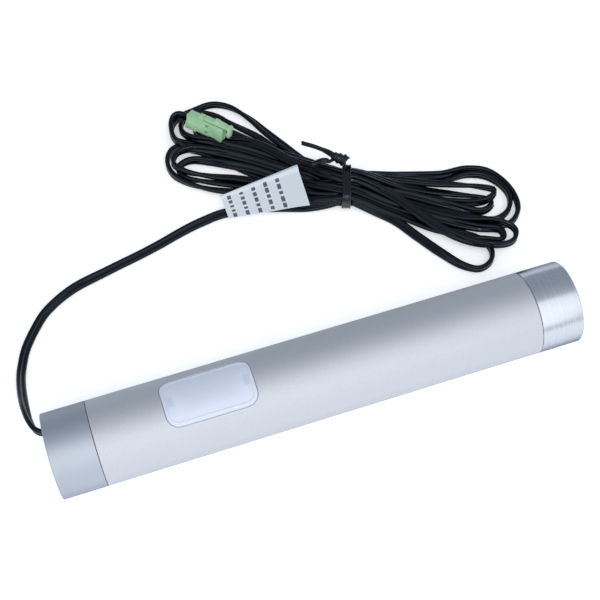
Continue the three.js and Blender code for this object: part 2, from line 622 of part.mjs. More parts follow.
add("heat_spreader", drilled(SPREADER, WINDOW_X, SPREADER_Z, ledScrewX), "rail");
add("thermal_pad", drilled(
  [LED_BOARD[0], LED_BOARD[1], PAD_THICKNESS], WINDOW_X, PAD_Z, ledScrewX), "pad");
add("led_board", drilled(LED_BOARD, WINDOW_X, LED_BOARD_Z, ledScrewX), "white");
ledScrewX.forEach((x, i) => add(
  `led_board_screw_${i + 1}`, panScrew(LED_Z - RAIL_TOP_Z, x, 0, LED_Z), "screw"));
[-1, 0, 1].forEach((column) => [-1, 1].forEach((row) => add(
  `led_${2 * (column + 1) + (row + 3) / 2}`,
  block(LED_SIZE, WINDOW_X + column * LED_PITCH[0], (row * LED_PITCH[1]) / 2, LED_Z), "led")));
add("light_box", makeLightBox(), "white");

driverScrewX.forEach((x, i) => {
  add(`driver_standoff_${i + 1}`, makeStandoff(x), "screw");
  add(`driver_screw_${i + 1}`,
    panScrew(DRIVER_TOP_Z - RAIL_TOP_Z, x, 0, DRIVER_TOP_Z), "screw");
});
add("driver_board", drilled(DRIVER_BOARD, DRIVER_X, DRIVER_Z, driverScrewX), "board");
add("driver_inductor", makeInductor(), "dark");
add("driver_capacitor", makeCapacitor(), "dark");
add("driver_chip", block(CHIP.size, DRIVER_X + CHIP.x, CHIP.y, DRIVER_TOP_Z), "dark");
add("driver_diode", block(DIODE.size, DRIVER_X + DIODE.x, DIODE.y, DRIVER_TOP_Z), "dark");
add("input_terminal", makeTerminal(TERMINAL_Y), "white");
add("output_terminal", makeTerminal(-TERMINAL_Y), "white");
add("inner_lead", flatCord(innerLeadRoute()), "cord");
add("led_wire_red", roundWire(ledWireRoute(1)), "red");
add("led_wire_black", roundWire(ledWireRoute(-1)), "cord");

add("cable_grommet", makeGrommet(), "moulding");
add("cord_clamp", makeClamp(), "moulding");
clampScrewY.forEach((y, i) => add(
  `clamp_screw_${i + 1}`,
  panScrew(CLAMP[2] + RAIL_THICKNESS, CLAMP_X, y, RAIL_TOP_Z + CLAMP[2] + 2 * REST), "screw"));

add("lead_cord", flatCord(LEAD_ROUTE), "cord");
add("cord_hank", makeHank(), "cord");
add("plug_tail", flatCord(TAIL_ROUTE), "cord");
add("twist_tie", makeTie(), "dark", waist);
add("label_flag", block(LABEL), "paper", label);

add("plug_housing", makePlugHousing(), "green", plug);
contactY.forEach((y, i) => add(
  `plug_contact_${i + 1}`,
  block(CONTACT_SIZE, PLUG[0] - CONTACT_SIZE[0] / 2 - CONTACT_SET_BACK, y, (PLUG[2] - CONTACT_SIZE[2]) / 2),
  "tin", plug));
add("plug_latch", makeLatch(), "green", plug);

export default bar;
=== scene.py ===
# %% [markdown]
# A short round light bar on a pale table: an aluminium tube, two turned caps, a frosted window, and about two
# and a half metres of flat two-core lead tied in a hank that ends in a small green connector. The CAD model
# fixes every size and place, and this script makes the surfaces that the eye sees. Sizes are written in
# millimetres and pass through mm(), because Blender works in metres.

# %% Load the fixed frame
import json
from math import asin, copysign, cos, exp, hypot, pi, radians, sin, sqrt

import bmesh
import bpy
import numpy as np
from mathutils import Matrix, Vector
from numpy.linalg import norm


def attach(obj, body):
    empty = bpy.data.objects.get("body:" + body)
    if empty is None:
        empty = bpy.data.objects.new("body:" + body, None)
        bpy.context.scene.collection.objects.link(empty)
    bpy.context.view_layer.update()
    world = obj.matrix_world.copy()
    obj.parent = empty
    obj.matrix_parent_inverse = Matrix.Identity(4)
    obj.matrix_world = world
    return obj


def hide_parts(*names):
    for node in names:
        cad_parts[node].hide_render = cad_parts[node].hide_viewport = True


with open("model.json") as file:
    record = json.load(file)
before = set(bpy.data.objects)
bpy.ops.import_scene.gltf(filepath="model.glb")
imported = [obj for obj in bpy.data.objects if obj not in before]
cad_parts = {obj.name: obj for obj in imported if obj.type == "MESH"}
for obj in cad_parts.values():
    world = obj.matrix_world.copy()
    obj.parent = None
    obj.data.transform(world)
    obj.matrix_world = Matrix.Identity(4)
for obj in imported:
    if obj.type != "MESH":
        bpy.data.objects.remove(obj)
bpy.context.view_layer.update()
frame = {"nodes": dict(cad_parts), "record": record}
MM = 0.001


def mm(*values):
    """Millimetres to metres, for one number or a point."""
    scaled = tuple(v * MM for v in values)
    return scaled[0] if len(scaled) == 1 else scaled


def placed(name, data):
    """A new object, linked to the scene."""
    made = bpy.data.objects.new(name, data)
    bpy.context.scene.collection.objects.link(made)
    return made


# %% [markdown]
# The camera comes first, because everything is judged through it. It stands in front of the bar, a little to
# its left and high up, half a metre away. A lens of about 70 mm makes the far cap only a little smaller.

# %% Camera
AZIMUTH, ELEVATION = radians(-18.4), radians(61.3)
CAMERA_TARGET = Vector(mm(4.5, 35.8, 17.5))
CAMERA_DISTANCE = mm(489)
LENS_MM = 69.6
CLIP_START = mm(20)

back = Vector((sin(AZIMUTH) * cos(ELEVATION), -cos(AZIMUTH) * cos(ELEVATION), sin(ELEVATION)))
right = Vector((cos(AZIMUTH), sin(AZIMUTH), 0))
camera = placed("camera", bpy.data.cameras.new("camera"))
camera.data.lens, camera.data.clip_start = LENS_MM, CLIP_START
camera.matrix_world = Matrix((right, back.cross(right), back)).transposed().to_4x4()
camera.matrix_world.translation = CAMERA_TARGET + CAMERA_DISTANCE * back
bpy.context.scene.camera = camera
print("camera at", [round(c, 3) for c in camera.matrix_world.translation])

# %% [markdown]
# The lead is a flat two-core cord: two round wires side by side with a shallow groove between them. It runs
# from the left cap over the table in one long curve, through the same points as in the CAD model. The hank is
# fourteen runs through a tie. Each loop at its left or right end is a short card: the way out, the tip and the
# way back, with a height for each, because no two loops of a hank folded by hand are alike.

# %% The open stretch and the loops of the hank
CORD_WIDTH = 4.4
CORD_THICK = 2.2
OPEN_ROUTE = [
    (-107.5, 9.8, 19.5), (-110.4, 9.8, 19.5), (-113.4, 11.8, 19.6), (-115.2, 17, 18.4),
    (-116, 24, 15.4), (-116.4, 32, 10.9), (-116.2, 41, 6), (-115.4, 47.5, 3),
    (-113.7, 53, 1.8), (-111.2, 58.4, 1.4), (-105.7, 66.2, 1.4), (-99.4, 73, 1.4),
    (-86.5, 80.4, 1.4), (-68.3, 85.3, 1.4), (-52.8, 88.8, 1.4), (-43.4, 91.2, 1.4),
    (-33.6, 94.1, 1.5), (-26, 96, 1.9), (-20, 97.1, 2.9), (-13.2, 98, 4.2),
]
TAIL_ROUTE = [
    (-21.6, 142.6, 5.4), (-22.2, 146.4, 6.4), (-21.2, 150.4, 8), (-18.4, 152.6, 9.4),
    (-15.4, 151.6, 9.6), (-13.15, 149.21, 9.4),
]
WAIST = np.array((45.4, 91.6))
WAIST_TURN = radians(-19.5)
ALONG = np.array((cos(WAIST_TURN), sin(WAIST_TURN)))
ACROSS = np.array((-sin(WAIST_TURN), cos(WAIST_TURN)))
COLUMN_PITCH = 4.4
LAYER_PITCH = 2.2
LOWEST_LAYER = 2.0
MIDDLE_COLUMN = 1.5

# Each right loop: its points (x, y, z) from the tie out and back, and the columns and layers of its two legs.
RIGHT_LOOPS = {
    "far_outer": ([(72, 91.5, 4), (90, 85.2, 3.4), (102, 84.8, 3.2), (110.4, 81.4, 3), (115.8, 73.6, 3),
        (117.7, 64, 3), (115.8, 56.6, 2.8), (109.4, 52, 2.6), (98, 55.6, 2), (78, 68, 2)], (3, 1), (1, 0)),
    "far_inner": ([(72, 88, 3.4), (90, 81.5, 3), (101, 81.5, 3), (109, 78, 3), (114, 71, 3), (115, 64, 3),
        (111, 57, 3), (103, 54.5, 2.6), (90, 61, 2), (70, 76, 2)], (3, 0), (2, 0)),
    "upper_tip": ([(72, 86, 6), (92, 78, 6), (103, 73, 5.4), (109, 68, 5), (104, 64.6, 4.6), (88, 70, 4.4),
        (68, 82, 4.4)], (3, 2), (2, 1)),
    "middle_tip": ([(70, 82, 5), (88, 72.5, 4.6), (98, 67, 4.4), (104, 61.5, 4), (98.5, 57.5, 3.6),
        (84, 63, 3.4), (66, 79, 4)], (3, 3), (2, 2)),
    "crossing": ([(60, 81, 8.4), (70, 67, 8), (80, 55.5, 6), (91, 46, 4), (100, 41.6, 3.2), (107, 42, 3),
        (110, 47, 3), (104, 53.4, 4), (88, 61, 5), (68, 76, 5)], (2, 3), (1, 1)),
    "lower_tip": ([(64, 74, 6.4), (80, 62.5, 6), (94, 54.5, 5.4), (104, 49.5, 5), (103, 45, 4.4),
        (93, 48.4, 4.6), (78, 58.5, 5), (62, 72, 5)], (1, 2), (0, 2)),
    "low": ([(60, 71, 2.6), (68, 58, 2.4), (75, 46.8, 2.2), (82, 37.6, 2.2), (88.4, 34, 2.4), (94.4, 36, 2.8),
        (97.2, 41.4, 3), (95, 48, 2), (84, 60, 1.6), (64, 74, 1.8)], (0, 1), (0, 0)),
}
# The left loops, likewise.
LEFT_LOOPS = {
    "top_outer": ([(35, 110.5, 5), (27, 122, 4), (19.8, 135.4, 3), (14.2, 146, 3), (7.4, 154.2, 3),
        (0, 157.6, 3), (-9, 156.4, 3), (-17.4, 154, 3), (-21.6, 148.8, 3), (-21.2, 142, 2.8), (-14, 136.4, 2),
        (2, 129, 1.8), (20, 116, 2)], (3, 2), (3, 1)),
    "top_inner": ([(30, 113.5, 4.6), (22.5, 124.5, 4), (16, 134.5, 4), (8, 143, 4), (0, 151.4, 4.2),
        (-8, 154.6, 4.4), (-16, 152, 4.4), (-18.6, 146, 4.2), (-16, 139.4, 4), (-5, 133, 4), (10, 124, 4),
        (26, 111, 4)], (3, 0), (2, 1)),
    "inside": ([(22, 117, 6), (10, 130, 6), (1, 140, 6), (-6, 147, 6), (-12, 147.6, 6), (-13.6, 142, 5.6),
        (-8, 135.6, 5), (6, 126, 5), (24, 111, 5)], (3, 3), (2, 3)),
    "left_outer": ([(24, 107, 2.6), (8, 121.6, 2.6), (-6, 133.4, 2.6), (-16, 138.6, 2.6), (-23, 138.6, 2.8),
        (-27, 133.4, 3), (-26.8, 126, 3), (-21.8, 119.4, 2.8), (-12, 113, 2.4), (2, 107.6, 2.2), (22, 98, 2)],
        (2, 2), (0, 2)),
    "left_upper": ([(22, 109, 7), (6, 122, 7), (-6, 130.4, 6.4), (-16, 135.4, 5.4), (-22.6, 134.8, 4.6),
        (-25.2, 130, 4), (-22, 125, 4), (-12, 120.4, 4), (4, 114.6, 4.6), (22, 105, 5)], (2, 0), (1, 1)),
    "left_lower": ([(22, 106, 4.6), (6, 119, 4.6), (-8, 128, 4), (-18, 131.6, 3.4), (-24, 129, 3),
        (-23, 123.6, 3), (-14, 118, 3.4), (0, 112, 4), (20, 102, 5)], (1, 2), (0, 0)),
}
LEAD_SLOT = (0, 1)
LEAD_IN = [(0, 97.2, 5), (14, 94, 5), (28, 89.6, 4.8)]
TAIL_SLOT = (1, 0)
TAIL_OUT = [(22, 107, 2.2), (5, 122.5, 2.4), (-8, 133, 3), (-17, 138, 4)]
print(len(RIGHT_LOOPS), "right loops and", len(LEFT_LOOPS), "left loops")

# %% [markdown]
# The walk through the hank follows the slots in the tie: a leg that comes in on one side goes out on the other
# side in the same slot. So the whole lead is one path, and every loop is used exactly once.

# %% Walk the hank from the lead to the connector
WAIST_HALF = 3.6
PULL_IN = 0.3
PULL_REACH = 30
SPLINE_STEPS = 24


def slot_points(place, rightwards):
    """A leg's two points inside the tie, in order of travel."""
    column, layer = place
    middle = WAIST + (column - MIDDLE_COLUMN) * COLUMN_PITCH * ACROSS
    z = LOWEST_LAYER + layer * LAYER_PITCH
    step = WAIST_HALF * (1 if rightwards else -1)
    return [(*(middle - step * ALONG), z), (*(middle + step * ALONG), z)]


def drawn_in(points):
    """Pull the runs together near the waist; they spread out towards the loops."""
    moved = []
    for x, y, z in points:
        from_waist = np.array((x, y)) - WAIST
        along, across = from_waist @ ALONG, from_waist @ ACROSS
        across *= 1 - PULL_IN * exp(-(along / PULL_REACH) ** 2)
        moved.append((*(WAIST + along * ALONG + across * ACROSS), z))
    return moved


def walk_hank():
    route = list(OPEN_ROUTE) + LEAD_IN
    unused = {True: dict(RIGHT_LOOPS), False: dict(LEFT_LOOPS)}
    place, rightwards = LEAD_SLOT, True
    while True:
        route += slot_points(place, rightwards)
        if place == TAIL_SLOT and not rightwards:
            break
        name = next(n for n, card in unused[rightwards].items() if place in card[1:])
        points, first, second = unused[rightwards].pop(name)
        route += drawn_in(points if place == first else points[::-1])
        place = second if place == first else first
        rightwards = not rightwards
    assert not unused[True] and not unused[False]
    return np.array(route + TAIL_OUT + TAIL_ROUTE, float)


def travelled(line):
    """The distance along a line up to each of its points."""
    return np.concatenate([[0], np.cumsum(norm(np.diff(line, axis=0), axis=1))])


def between(t, a, b, first, second):
    """What lies between two points or curves, as t goes from a to b."""
    return (b - t) / (b - a) * first + (t - a) / (b - a) * second


def spline_through(points, spacing):
    """Even samples on a centripetal Catmull-Rom curve through the points."""
    p = np.vstack([2 * points[0] - points[1], points, 2 * points[-1] - points[-2]])
    knots = np.concatenate([[0], np.cumsum(np.sqrt(norm(np.diff(p, axis=0), axis=1)))])
    dense = []
    for i in range(1, len(p) - 2):
        t0, t1, t2, t3 = knots[i - 1:i + 3]
        t = np.linspace(t1, t2, SPLINE_STEPS, endpoint=False)[:, None]
        a, b, c = (between(t, knots[k], knots[k + 1], p[k], p[k + 1]) for k in (i - 1, i, i + 1))
        dense.append(between(t, t1, t2, between(t, t0, t2, a, b), between(t, t1, t3, b, c)))
    line = np.vstack([*dense, points[-1:]])
    along = travelled(line)
    wanted = np.linspace(0, along[-1], max(2, int(round(along[-1] / spacing)) + 1))
    return np.column_stack([np.interp(wanted, along, line[:, k]) for k in range(3)])


def length_of(line):
    return float(norm(np.diff(line, axis=0), axis=1).sum())


RELAX_SPACING = 2.4
cord_line = spline_through(walk_hank(), RELAX_SPACING)
print("cord as laid out:", round(length_of(cord_line)), "mm in", len(cord_line), "points")

# %% [markdown]
# A flat cord turns so that its thin side faces the centre of each bend. The turn is worked out from the bend
# itself: where the path curves tightly the cord stands on edge, and where it runs straight it lies flat. The
# change is spread over a few centimetres, as the stiffness of the wire does.

# %% How the flat cord is turned along its length
EDGE_CURVATURE = 1 / 22
TWIST_SPREAD = 12
HEADING_SPREAD = 3
TURN_GAIN = 1.25


def smoothed(values, sigma, spacing):
    reach = int(3 * sigma / spacing)
    kernel = np.exp(-0.5 * (np.arange(-reach, reach + 1) * spacing / sigma) ** 2)
    return np.convolve(np.pad(values, reach, mode="edge"), kernel / kernel.sum(), mode="valid")


def cord_axes(line, spacing):
    """Tangent, wide direction and thin direction at each point of the cord."""
    tangent = np.gradient(line, axis=0)
    tangent /= norm(tangent, axis=1, keepdims=True)
    heading = np.unwrap(np.arctan2(tangent[:, 1], tangent[:, 0]))
    bend = np.abs(np.gradient(smoothed(heading, HEADING_SPREAD, spacing), spacing))
    edge = smoothed(np.clip(bend / EDGE_CURVATURE, 0, 1), TWIST_SPREAD, spacing)
    turn = np.clip(TURN_GAIN * edge, 0, 1) * pi / 2
    level = np.column_stack([-np.sin(heading), np.cos(heading), np.zeros(len(line))])
    lifted = np.cross(tangent, level)
    wide = np.cos(turn)[:, None] * level + np.sin(turn)[:, None] * lifted
    wide -= (wide * tangent).sum(1)[:, None] * tangent
    wide /= norm(wide, axis=1, keepdims=True)
    return tangent, wide, np.cross(wide, tangent)


# %% [markdown]
# The runs were given point by point, so some still pass through each other. A short settling pass fixes that:
# each sample is pushed from its neighbours until the flat sections just touch, it sinks a little under its
# weight, and the shifts are smoothed along the cord. It is plain arithmetic, so it gives the same hank each time.

# %% Settle the hank
SETTLE_ROUNDS = 260
PAIR_REFRESH = 12
SINK = 0.03
CLEAR = 0.05
EASE_SPREAD = 4
SHIFT_SPREAD = 2.6
NEAR = 7.5
OWN_REACH = 9
TIE_REACH = 14
HELD_START, HELD_END = 30, 6
WORST_COUNT = 200


def half_size(direction, wide, thin):
    """Half the flat section's size in a direction."""
    w = (direction * wide).sum(1) * CORD_WIDTH / 2
    t = (direction * thin).sum(1) * CORD_THICK / 2
    return np.sqrt(w * w + t * t)


def settle(line, spacing):
    upright = np.tile((0.0, 0.0, 1.0), (len(line), 1))
    _, wide, thin = cord_axes(line, spacing)
    on_table = half_size(upright, wide, thin) + CLEAR
    line[:, 2] = np.maximum(line[:, 2], smoothed(on_table, EASE_SPREAD, spacing))
    start = line.copy()
    from_waist = line[:, :2] - WAIST
    in_tie = (np.abs(from_waist @ ALONG) < WAIST_HALF + 0.5) & (np.abs(from_waist @ ACROSS) < TIE_REACH)
    number = np.arange(len(line))
    held = in_tie | (number < HELD_START) | (number > len(line) - HELD_END)
    ease = smoothed(1.0 - held, EASE_SPREAD, spacing)
    ease[held] = 0
    apart = int(OWN_REACH / spacing)
    for step in range(SETTLE_ROUNDS):
        if step % PAIR_REFRESH == 0:
            _, wide, thin = cord_axes(line, spacing)
            gap = line[:, None, :] - line[None, :, :]
            i, j = np.nonzero(np.triu((gap ** 2).sum(2) < NEAR ** 2, apart))
        gap = line[i] - line[j]
        distance = norm(gap, axis=1) + 1e-9
        direction = gap / distance[:, None]
        need = half_size(direction, wide[i], thin[i]) + half_size(direction, wide[j], thin[j])
        lack = np.clip(need - distance, 0, None)
        push = 0.5 * lack[:, None] * direction
        shift = np.zeros_like(line)
        touches = np.full(len(line), 1e-9)
        hit = lack > 0
        for ends, way in ((i[hit], push[hit]), (j[hit], -push[hit])):
            np.add.at(shift, ends, way)
            np.add.at(touches, ends, 1)
        shift /= np.maximum(touches, 1)[:, None] ** 0.5
        shift[:, 2] -= SINK
        moved = line + ease[:, None] * shift - start
        for k in range(3):
            moved[:, k] = smoothed(moved[:, k], SHIFT_SPREAD, spacing)
        line = start + ease[:, None] * moved + (1 - ease)[:, None] * (line - start)
        line[:, 2] = np.maximum(line[:, 2], half_size(upright, wide, thin) + CLEAR)
        line[held] = start[held]
    return line, float(np.sort(lack)[-WORST_COUNT:].mean()) if len(lack) else 0.0


cord_line, overlap_left = settle(cord_line, RELAX_SPACING)
print("settled: worst overlaps average", round(overlap_left, 2), "mm, top of the hank at",
      round(float(cord_line[60:, 2].max()), 1), "mm")

# %% [markdown]
# Every finish starts from the same small kit. One function turns a hex colour to linear light, two add a node
# and feed its inputs, and one makes a base finish: two close colours and two roughnesses, mixed by a noise
# whose grain has a real size in millimetres on each axis.

# %% The finish kit
def linear(hex_colour):
    """An sRGB hex colour as linear light."""
    channels = [int(hex_colour[k:k + 2], 16) / 255 for k in (1, 3, 5)]
    return (*(c / 12.92 if c <= 0.04045 else ((c + 0.055) / 1.055) ** 2.4 for c in channels), 1.0)


def feed(tree, node, inputs):
    """Set or link inputs by name or number; a node given as a value stands for its first output."""
    for key, value in inputs.items():
        value = value.outputs[0] if isinstance(value, bpy.types.Node) else value
        if isinstance(value, bpy.types.NodeSocket):
            tree.links.new(value, node.inputs[key])
        else:
            node.inputs[key].default_value = value


def add(tree, kind, inputs, **settings):
    """A new node with its properties and its inputs."""
    node = tree.nodes.new(kind)
    for key, value in settings.items():
        setattr(node, key, value)
    feed(tree, node, inputs)
    return node


def grained(name, colours, roughness, grain, depth, values=None, place=None):
    """A finish with a grain, in mm; place(tree) may give other coordinates than the object's own."""
    material = bpy.data.materials.new(name)
    material.use_nodes = True
    tree = material.node_tree
    shader = tree.nodes["Principled BSDF"]
    feed(tree, shader, values or {})
    where = place(tree) if place else add(tree, "ShaderNodeTexCoord", {}).outputs["Object"]
    scale = [1 / mm(g) for g in (grain if isinstance(grain, tuple) else [grain] * 3)]
    scaled = add(tree, "ShaderNodeMapping", {"Vector": where, "Scale": scale})
    noise = add(tree, "ShaderNodeTexNoise", {"Vector": scaled, "Scale": 1.0, "Detail": 3.0})
    mixed = add(tree, "ShaderNodeMix", {0: noise, 6: linear(colours[0]), 7: linear(colours[1])},
                     data_type="RGBA")
    gloss = add(tree, "ShaderNodeMapRange", {
        "Value": noise, "From Min": 0.3, "From Max": 0.7, "To Min": roughness[0], "To Max": roughness[1]})
    bump = add(tree, "ShaderNodeBump", {"Height": noise, "Distance": mm(depth), "Strength": 0.6})
    feed(tree, shader, {"Base Color": mixed.outputs[2], "Roughness": gloss, "Normal": bump})
    return material


METAL = {"Metallic": 1.0}
# Painted shade: a dark blue-grey edge tint darkens the metal's reflections towards grazing angles, so the edges
# of the tube and caps read dark.
METAL_PAINTED_EDGE_SHADE = {"Metallic": 1.0, "Specular Tint": (0.22, 0.25, 0.3, 1)}
AXIS_Z = 17.5


def turned_place(tree):
    """Coordinates along the bar and out from its axis, for turned metal."""
    place = add(tree, "ShaderNodeTexCoord", {}).outputs["Object"]
    centred = add(tree, "ShaderNodeVectorMath", {0: place, 1: mm(0, 0, -AXIS_Z)}, operation="ADD")
    parts = add(tree, "ShaderNodeSeparateXYZ", {0: centred})
    flat = add(tree, "ShaderNodeCombineXYZ", {1: parts.outputs[1], 2: parts.outputs[2]})
    out = add(tree, "ShaderNodeVectorMath", {0: flat}, operation="LENGTH")
    return add(tree, "ShaderNodeCombineXYZ", {0: parts, 1: out.outputs["Value"]})


ROWS = {
    # Drawn aluminium, etched and anodised: satin, with a grain under 1 mm that only softens reflections.
    "tube_anodised": (
        "satin anodised aluminium", ("#d5d8dd", "#cbcfd5"), (0.63, 0.69), (0.6, 0.35, 0.35), 0.002, METAL_PAINTED_EDGE_SHADE),
    # Aluminium turned on a lathe: fine rings about 0.3 mm apart, hardly deep enough to show.
    "cap_aluminium": (
        "turned aluminium", ("#bac0ca", "#d6dbe1"), (0.22, 0.29), (0.3, 0.3, 1), 0.0008, METAL_PAINTED_EDGE_SHADE, turned_place),
    # The left cap gets a copy of the turned finish with a higher roughness, so its bright band is spread out, and
    # darker colours: painted shade for the lesser light at that end.
    "cap_rougher_painted_shade": ("brushed aluminium", ("#adb4be", "#bfc5cd"), (0.52, 0.6), (0.25, 0.25, 1.5), 0.003,
                    METAL_PAINTED_EDGE_SHADE, turned_place),
    # Moulded ABS with a spark-eroded texture.
    "black_moulding": ("black moulded ABS", ("#17181a", "#222427"), (0.5, 0.62), 0.5, 0.02),
    # Soft PVC insulation: smooth and oily, with slow waves from the extruder. The blue specular tint is a painted
    # reflection colour that turns the lamps' reflections bluish.
    "cord_black": (
        "black soft PVC", ("#050609", "#0a0b10"), (0.13, 0.22), 3, 0.03,
        {"IOR": 1.5, "Specular IOR Level": 0.3, "Specular Tint": (0.7, 0.82, 1, 1)}),
    # The blue specular tint is a painted reflection colour that turns the lamps' reflections on the tie bluish.
    "tie_black": (
        "black tie vinyl", ("#050608", "#0c0d11"), (0.1, 0.18), 1.2, 0.008,
        {"Specular IOR Level": 0.5, "Specular Tint": (0.8, 0.88, 1, 1)}),
    # Coated label paper: matt, faintly blue, with its fibres just showing.
    "label_paper": (
        "coated label paper", ("#dfe6ec", "#d5dde4"), (0.5, 0.62), (2.5, 0.7, 0.7), 0.01, {"Sheen Weight": 0.1}),
    # Polyamide 6.6 with a green pigment: light passes a little way into it.
    "connector_green": (
        "green polyamide", ("#b2dcb0", "#a2cfa2"), (0.38, 0.5), 0.8, 0.015,
        {"Subsurface Weight": 0.25, "Subsurface Radius": mm(0.9, 1.2, 0.8), "IOR": 1.53}),
    "tinned_contact": ("tinned brass", ("#c9cbc8", "#b2b5b4"), (0.25, 0.4), 0.4, 0.01, METAL),
    # Extruded and sawn aluminium, not anodised: long die lines along the bar.
    "mill_aluminium": (
        "mill-finish aluminium", ("#b9bcc0", "#a6a9ae"), (0.3, 0.48), (12, 0.25, 0.25), 0.01, METAL),
    "zinc_steel": ("zinc-plated steel", ("#a9adb2", "#c0c3c2"), (0.22, 0.36), 0.7, 0.01, METAL),
    "thermal_pad": ("silicone thermal pad", ("#a9b7c9", "#9aa9bd"), (0.75, 0.9), 0.5, 0.03),
    "white_plastic": (
        "white polycarbonate", ("#f4f4f0", "#eaeae4"), (0.4, 0.52), 0.6, 0.01,
        {"Subsurface Weight": 0.1, "Subsurface Radius": mm(1, 1, 1)}),
    "circuit_board": (
        "green solder mask", ("#1d5a38", "#17492d"), (0.25, 0.4), (0.8, 0.3, 1), 0.02, {"Coat Weight": 0.4}),
    "led_phosphor": (
        "phosphor silicone", ("#f3e08a", "#ecd36c"), (0.3, 0.45), 0.3, 0.01,
        {"Subsurface Weight": 0.3, "Subsurface Radius": mm(0.5, 0.4, 0.2)}),
    "black_component": ("black epoxy", ("#1a1b1e", "#26272b"), (0.45, 0.6), 0.3, 0.02),
    "wire_red": ("red PVC", ("#b02020", "#991a1a"), (0.3, 0.45), 2, 0.02),
}
FINISHES = {slot: grained(*row) for slot, row in ROWS.items()}
print(len(FINISHES), "finishes")

# %% [markdown]
# The window is frosted polycarbonate. Light scatters inside it, so the white box behind it only shows as a bluish
# glow. A small part of the light passes through a rough surface here, and the rest comes back from the body
# colour. The shade of what stands close behind the sheet, the two snap tabs and the middle of the box, is painted
# into the colour as soft darker spots, because true scattering would need far more samples.

# %% Frosted polycarbonate
FINISHES["lens_frosted"] = grained(
    "frosted polycarbonate", ("#e8eefd", "#dbe4f8"), (0.42, 0.5), 0.5, 0.004,
    {"Transmission Weight": 0.12, "IOR": 1.58, "Subsurface Weight": 0.2, "Subsurface Radius": mm(1.5, 1.8, 2.4)})
# The rim of the same moulding is polished and thicker, so it looks paler than the field.
FINISHES["lens_rim"] = grained(
    "polished polycarbonate rim", ("#dfe6f3", "#d5deec"), (0.3, 0.4), 2, 0.002,
    {"Transmission Weight": 0.1, "IOR": 1.58, "Coat Weight": 0.2})


def shaded(material, middle, half, amount, soft):
    """Paint shade into a finish over a box-shaped spot; middle, half size and softness are in mm."""
    tree = material.node_tree
    shader = tree.nodes["Principled BSDF"]
    place = add(tree, "ShaderNodeTexCoord", {}).outputs["Object"]
    away = add(tree, "ShaderNodeVectorMath", {0: place, 1: mm(*middle)}, operation="SUBTRACT")
    size = add(tree, "ShaderNodeVectorMath", {0: away}, operation="ABSOLUTE")
    over = add(tree, "ShaderNodeVectorMath", {0: size, 1: mm(*half)}, operation="SUBTRACT")
    parts = add(tree, "ShaderNodeSeparateXYZ", {0: over})
    worst = add(tree, "ShaderNodeMath", {0: parts, 1: parts.outputs[1]}, operation="MAXIMUM")
    shade = add(tree, "ShaderNodeMapRange", {
        "Value": worst, "From Min": mm(-soft), "From Max": mm(soft), "To Min": amount, "To Max": 1.0})
    before = shader.inputs["Base Color"].links[0].from_socket
    darker = add(tree, "ShaderNodeVectorMath", {0: before, 1: shade}, operation="MULTIPLY")
    feed(tree, shader, {"Base Color": darker})


def wear(piece, finish_name, body="bar"):
    """Give a piece its finish and body, and say what was made."""
    piece.data.materials.clear()
    piece.data.materials.append(FINISHES[finish_name])
    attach(piece, body)
    print(piece.name, "has", len(piece.data.polygons), "faces in", finish_name)


print("finishes:", ", ".join(sorted(FINISHES)))

# %% [markdown]
# The cord's skin is one closed tube with a figure-of-eight section. A swept mesh was chosen over a bevelled
# curve because the turn of the flat section has to follow the bends, and a curve would choose its own.

# %% Sweep the flat cord
SKIN_SPACING = 1.2
CORE_STEPS = 9
CORE_REACH = radians(152)


def solid(name, parts, sharp=35):
    """One mesh from several (points, faces) shells: joined, facing out, smooth except over sharp edges."""
    built = bmesh.new()
    for points, faces in parts:
        corners = [built.verts.new(mm(*map(float, p))) for p in points]
        for face in faces:
            built.faces.new([corners[k] for k in face])
    bmesh.ops.remove_doubles(built, verts=built.verts, dist=mm(0.0005))
    bmesh.ops.recalc_face_normals(built, faces=built.faces)
    mesh = bpy.data.meshes.new(name)
    built.to_mesh(mesh)
    built.free()
    mesh.polygons.foreach_set("use_smooth", [True] * len(mesh.polygons))
    mesh.set_sharp_from_angle(angle=radians(sharp))
    return placed(name, mesh)


def lofted(rings, closed=False):
    """Points and faces between rings; a ring of one point is a pole, and closed joins the last to the first."""
    points, starts = [], []
    for ring in rings:
        starts.append(len(points))
        points += [tuple(p) for p in ring]
    faces = []
    pairs = [(k, k + 1) for k in range(len(rings) - 1)] + ([(len(rings) - 1, 0)] if closed else [])
    for a, b in pairs:
        size_a, size_b = len(rings[a]), len(rings[b])
        for k in range(max(size_a, size_b)):
            face = (starts[a] + k % size_a, starts[a] + (k + 1) % size_a,
                    starts[b] + (k + 1) % size_b, starts[b] + k % size_b)
            faces.append(tuple(dict.fromkeys(face)))
    if not closed:
        for k in (0, len(rings) - 1):
            if len(rings[k]) > 2:
                faces.append(tuple(starts[k] + n for n in range(len(rings[k]))))
    return points, faces


skin_line = spline_through(cord_line, SKIN_SPACING)
CORD_LENGTH = length_of(skin_line)
_, skin_wide, skin_thin = cord_axes(skin_line, SKIN_SPACING)
lowest = (CORD_WIDTH - CORD_THICK) / 2 * np.abs(skin_wide[:, 2]) + CORD_THICK / 2 + 0.03
skin_line[:, 2] = np.maximum(skin_line[:, 2], lowest)
wire_r = CORD_THICK / 2  # two round wires touch in the middle and leave a groove open on each side
wire = [(wire_r + wire_r * cos(a), wire_r * sin(a)) for a in np.linspace(-CORE_REACH, CORE_REACH, CORE_STEPS)]
section = wire + [(-x, -y) for x, y in wire]
cord = solid("lead", [lofted([
    [p + x * w + y * t for x, y in section] for p, w, t in zip(skin_line, skin_wide, skin_thin)])], sharp=50)
wear(cord, "cord_black")
print("lead:", round(CORD_LENGTH), "mm")

# %% [markdown]
# The housing is an aluminium tube with one opening milled into it. Both walls are grids on a cylinder with a
# hole of matching points, so the opening's edge has its own small chamfer. Cutting the hole with a boolean
# would leave long thin faces that shade badly on a curved surface.

